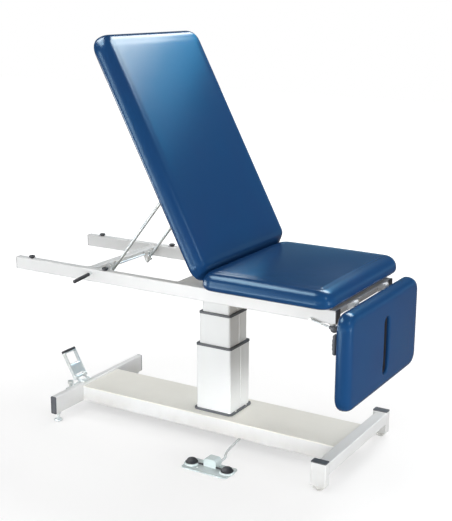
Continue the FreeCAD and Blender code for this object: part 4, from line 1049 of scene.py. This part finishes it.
def staples(span, radius, cells, gap=38.0, inset=28.0, unsteady=0.13):
    """Staples at even steps along the outline moved in by an inset, turned by an unsteady hand."""
    outline, normal = pad_outline(span, radius, cells)
    line = outline - normal * inset
    closed, facing = np.r_[line, line[:1]], np.r_[normal, normal[:1]]
    run = np.r_[0, np.cumsum(np.linalg.norm(np.diff(closed, axis=0), axis=1))]
    count = int(run[-1] // gap)
    at = (np.arange(count) + 0.5) * run[-1] / count
    centre = np.c_[np.interp(at, run, closed[:, 0]), np.interp(at, run, closed[:, 1])]
    turn = np.arctan2(np.interp(at, run, facing[:, 1]), np.interp(at, run, facing[:, 0]))
    turn += np.pi / 2 + draw.normal(0, unsteady, count)
    along = np.c_[np.cos(turn), np.sin(turn)][:, None, None]
    beside = along[..., ::-1] * (-1, 1)
    stations, around = len(wire_reach), len(wire_section)
    wires = np.empty((count, stations, around, 3))
    wires[..., :2] = (centre[:, None, None] + along * wire_reach[:, None, None]
                      + beside * (wire_width[:, None] * wire_section[:, 0])[..., None])
    wires[..., 2] = wire_level[:, None] + wire_section[:, 1] * (wire_width[:, None] > 0)
    first = stations * around * np.arange(count)[:, None, None]
    quads = grid_quads(stations, around, wrap_columns=True) + first
    return wires.reshape(-1, 3), quads.reshape(-1, 4)


for pad_name, plan in pad_plans.items():
    points, quads = staples(*plan["outline"])
    put_small(pad_name + "_staples", [(at_rest(points, plan), quads)], plan["body"], "zinc")

# %% [markdown]
# ## Studio
# A white room with a pale floor that keeps the table's shadow. The floor and the world are white
# only for rays that come from the eye or through the hose, so the background is white while the
# light on the table stays plain. In reflections the floor is darker, or it would veil the vinyl.

# %% Floor
floor_half = 14.0
gloss_share = 0.08
floor_grey, mirrored_grey = (0.42,) * 3, (0.16,) * 3


def seen_rays(tree):
    """1 for camera and transmission rays, a share for glossy ones, 0 for rays that carry light."""
    path = tree.nodes.new("ShaderNodeLightPath")
    gloss = add_node(tree, "ShaderNodeMath", {1: gloss_share}, operation="MULTIPLY")
    two = add_node(tree, "ShaderNodeMath", operation="MAXIMUM")
    three = add_node(tree, "ShaderNodeMath", operation="MAXIMUM")
    wire(tree, (path, "Is Glossy Ray", gloss, 0), (path, "Is Camera Ray", two, 0),
         (gloss, 0, two, 1), (two, 0, three, 0), (path, "Is Transmission Ray", three, 1))
    return path, three


floor_mesh = bpy.data.meshes.new("floor")
floor_corners = np.array([(-1, -1, 0), (1, -1, 0), (1, 1, 0), (-1, 1, 0)]) * floor_half
floor_mesh.from_pydata(floor_corners.tolist(), [], [(0, 1, 2, 3)])
floor = bpy.data.objects.new("floor", floor_mesh)
bpy.context.scene.collection.objects.link(floor)
floor_white, floor_tree, floor_shader, floor_place = new_material(
    "floor_white",
    {"Roughness": 0.9, "Specular IOR Level": 0.0, "Emission Color": (1, 1, 1, 1)})
floor_tones = mix_colours(floor_tree, floor_grey, mirrored_grey)
floor_path, floor_seen = seen_rays(floor_tree)
from_table = add_node(floor_tree, "ShaderNodeVectorMath", operation="LENGTH")
far_white = add_node(floor_tree, "ShaderNodeMapRange",
                     {"From Min": 0.9, "From Max": 3.2, "To Min": 0.6, "To Max": 1.0})
lift = add_node(floor_tree, "ShaderNodeMath", operation="MULTIPLY")
wire(floor_tree, (floor_path, "Is Glossy Ray", floor_tones, mix_factor),
     (floor_tones, mixed, floor_shader, "Base Color"),
     (floor_place, "Object", from_table, 0), (from_table, "Value", far_white, "Value"),
     (floor_seen, 0, lift, 0), (far_white, 0, lift, 1),
     (lift, 0, floor_shader, "Emission Strength"))
floor_mesh.materials.append(floor_white)
print("floor:", 2 * floor_half, "m wide")

# %% [markdown]
# The world gives a plain level of light. Reflections see a bluish room that is pale near the
# horizon and dark above, as a studio's ceiling is, and the eye sees plain white.

# %% World
plain_level = 0.5
world = bpy.data.worlds.new("studio")
bpy.context.scene.world = world
world.use_nodes = True
room = world.node_tree
room_light = room.nodes["Background"]
room_path = room.nodes.new("ShaderNodeLightPath")
room_tint = mix_colours(room, (1, 1, 1), (0.45, 0.8, 1))
room_place = add_node(room, "ShaderNodeTexCoord")
room_height = add_node(room, "ShaderNodeSeparateXYZ")
low_white = add_node(room, "ShaderNodeMapRange", {"From Min": 0.04, "From Max": 0.22,
                                                  "To Min": 0.6, "To Max": 0.12})
glossy_level = add_node(room, "ShaderNodeMix", {"A": plain_level})
eye_level = add_node(room, "ShaderNodeMix", {"B": 1.0})
eye_rays = add_node(room, "ShaderNodeMath", operation="MAXIMUM")
wire(room, (room_place, "Generated", room_height, 0), (room_height, "Z", low_white, "Value"),
     (room_path, "Is Glossy Ray", glossy_level, "Factor"),
     (room_path, "Is Glossy Ray", room_tint, mix_factor),
     (room_tint, mixed, room_light, "Color"), (low_white, 0, glossy_level, "B"),
     (room_path, "Is Camera Ray", eye_rays, 0), (room_path, "Is Transmission Ray", eye_rays, 1),
     (eye_rays, 0, eye_level, "Factor"), (glossy_level, "Result", eye_level, "A"),
     (eye_level, "Result", room_light, "Strength"))
print("world: plain level", plain_level)

# %% [markdown]
# Nine lamps are there only for their reflections in the vinyl: a soft box overhead, a panel behind
# the raised back with a blue card under it that gives the sheen its teal edge, a tall strip and a
# low panel on the left, and four small cards for the pads' near edges. Five more, overhead,
# behind, beside the camera, at the foot end and low in front, only light the paint. The low one
# has a narrow beam that stays under the top frame.

# %% Lamps
def soft_lamp(name, place, towards, size, watts, mirrored=True, lights=True, tint=(1, 1, 1)):
    """A soft area lamp at place, aimed at a point; it is mirrored in gloss, or lights, or both."""
    lamp_data = bpy.data.lights.new(name, "AREA")
    lamp_data.shape = "RECTANGLE"
    lamp_data.size, lamp_data.size_y = size
    lamp_data.energy = watts
    lamp_data.color = tint
    lamp = bpy.data.objects.new(name, lamp_data)
    lamp.location = place
    lamp.rotation_euler = (Vector(place) - Vector(towards)).to_track_quat("Z", "Y").to_euler()
    lamp.visible_camera = False
    lamp.visible_glossy, lamp.visible_diffuse = mirrored, lights
    bpy.context.scene.collection.objects.link(lamp)
    return lamp


soft_lamp("overhead_box", (-1.4, -0.9, 3.4), (0.2, 0.0, 0.7), (3.0, 1.2), 150, lights=False)
soft_lamp("overhead_light", (-1.4, -1.2, 3.4), (0.2, 0.0, 0.7), (1.8, 0.6), 16, mirrored=False)
soft_lamp("left_panel", (-2.7, -1.0, 0.45), (-0.2, -0.3, 1.0), (1.4, 0.9), 40, lights=False)
soft_lamp("side_strip", (-1.6, -2.9, 0.95), (-0.08, -0.3, 1.2), (0.6, 2.0), 32, lights=False)
soft_lamp("floor_card", (-0.4, -1.8, 0.04), (-0.1, -0.6, 0.8), (1.6, 0.8), 26, lights=False)
soft_lamp("foot_card", (2.9, -0.4, 0.36), (0.82, -0.3, 0.67), (0.6, 0.5), 6, lights=False)
soft_lamp("side_card", (-0.15, -3.3, 0.75), (0.13, -0.31, 0.9), (0.5, 0.6), 4.5, lights=False)
soft_lamp("corner_card", (2.3, -0.9, 2.03), (0.18, -0.29, 0.85), (0.5, 0.5), 5.5, lights=False)
soft_lamp("back_panel", (0.45, 2.3, 3.68), (-0.3, 0.0, 1.4), (2.4, 1.2), 138, lights=False)
soft_lamp("blue_card", (0.65, 2.55, 2.88), (-0.2, 0.0, 1.5), (2.4, 0.5), 16, lights=False,
          tint=(0.02, 0.57, 1))
soft_lamp("back_light", (0.45, 2.3, 3.3), (-0.3, 0.0, 1.4), (2.4, 1.2), 66, mirrored=False)
soft_lamp("front_fill", (0.8, -4.4, 0.5), (0.1, 0.0, 0.0), (2.4, 0.9), 96, mirrored=False)
soft_lamp("low_fill", (3.2, -0.6, 0.6), (0.72, 0.0, 0.1), (1.2, 0.6), 44, mirrored=False)
base_light = soft_lamp("base_light", (-0.3, -3.0, 0.14), (-0.2, -0.13, 0.06), (1.6, 0.2), 0.58,
                       mirrored=False)
base_light.data.spread = np.radians(18)
bpy.context.scene.view_settings.view_transform = "Standard"
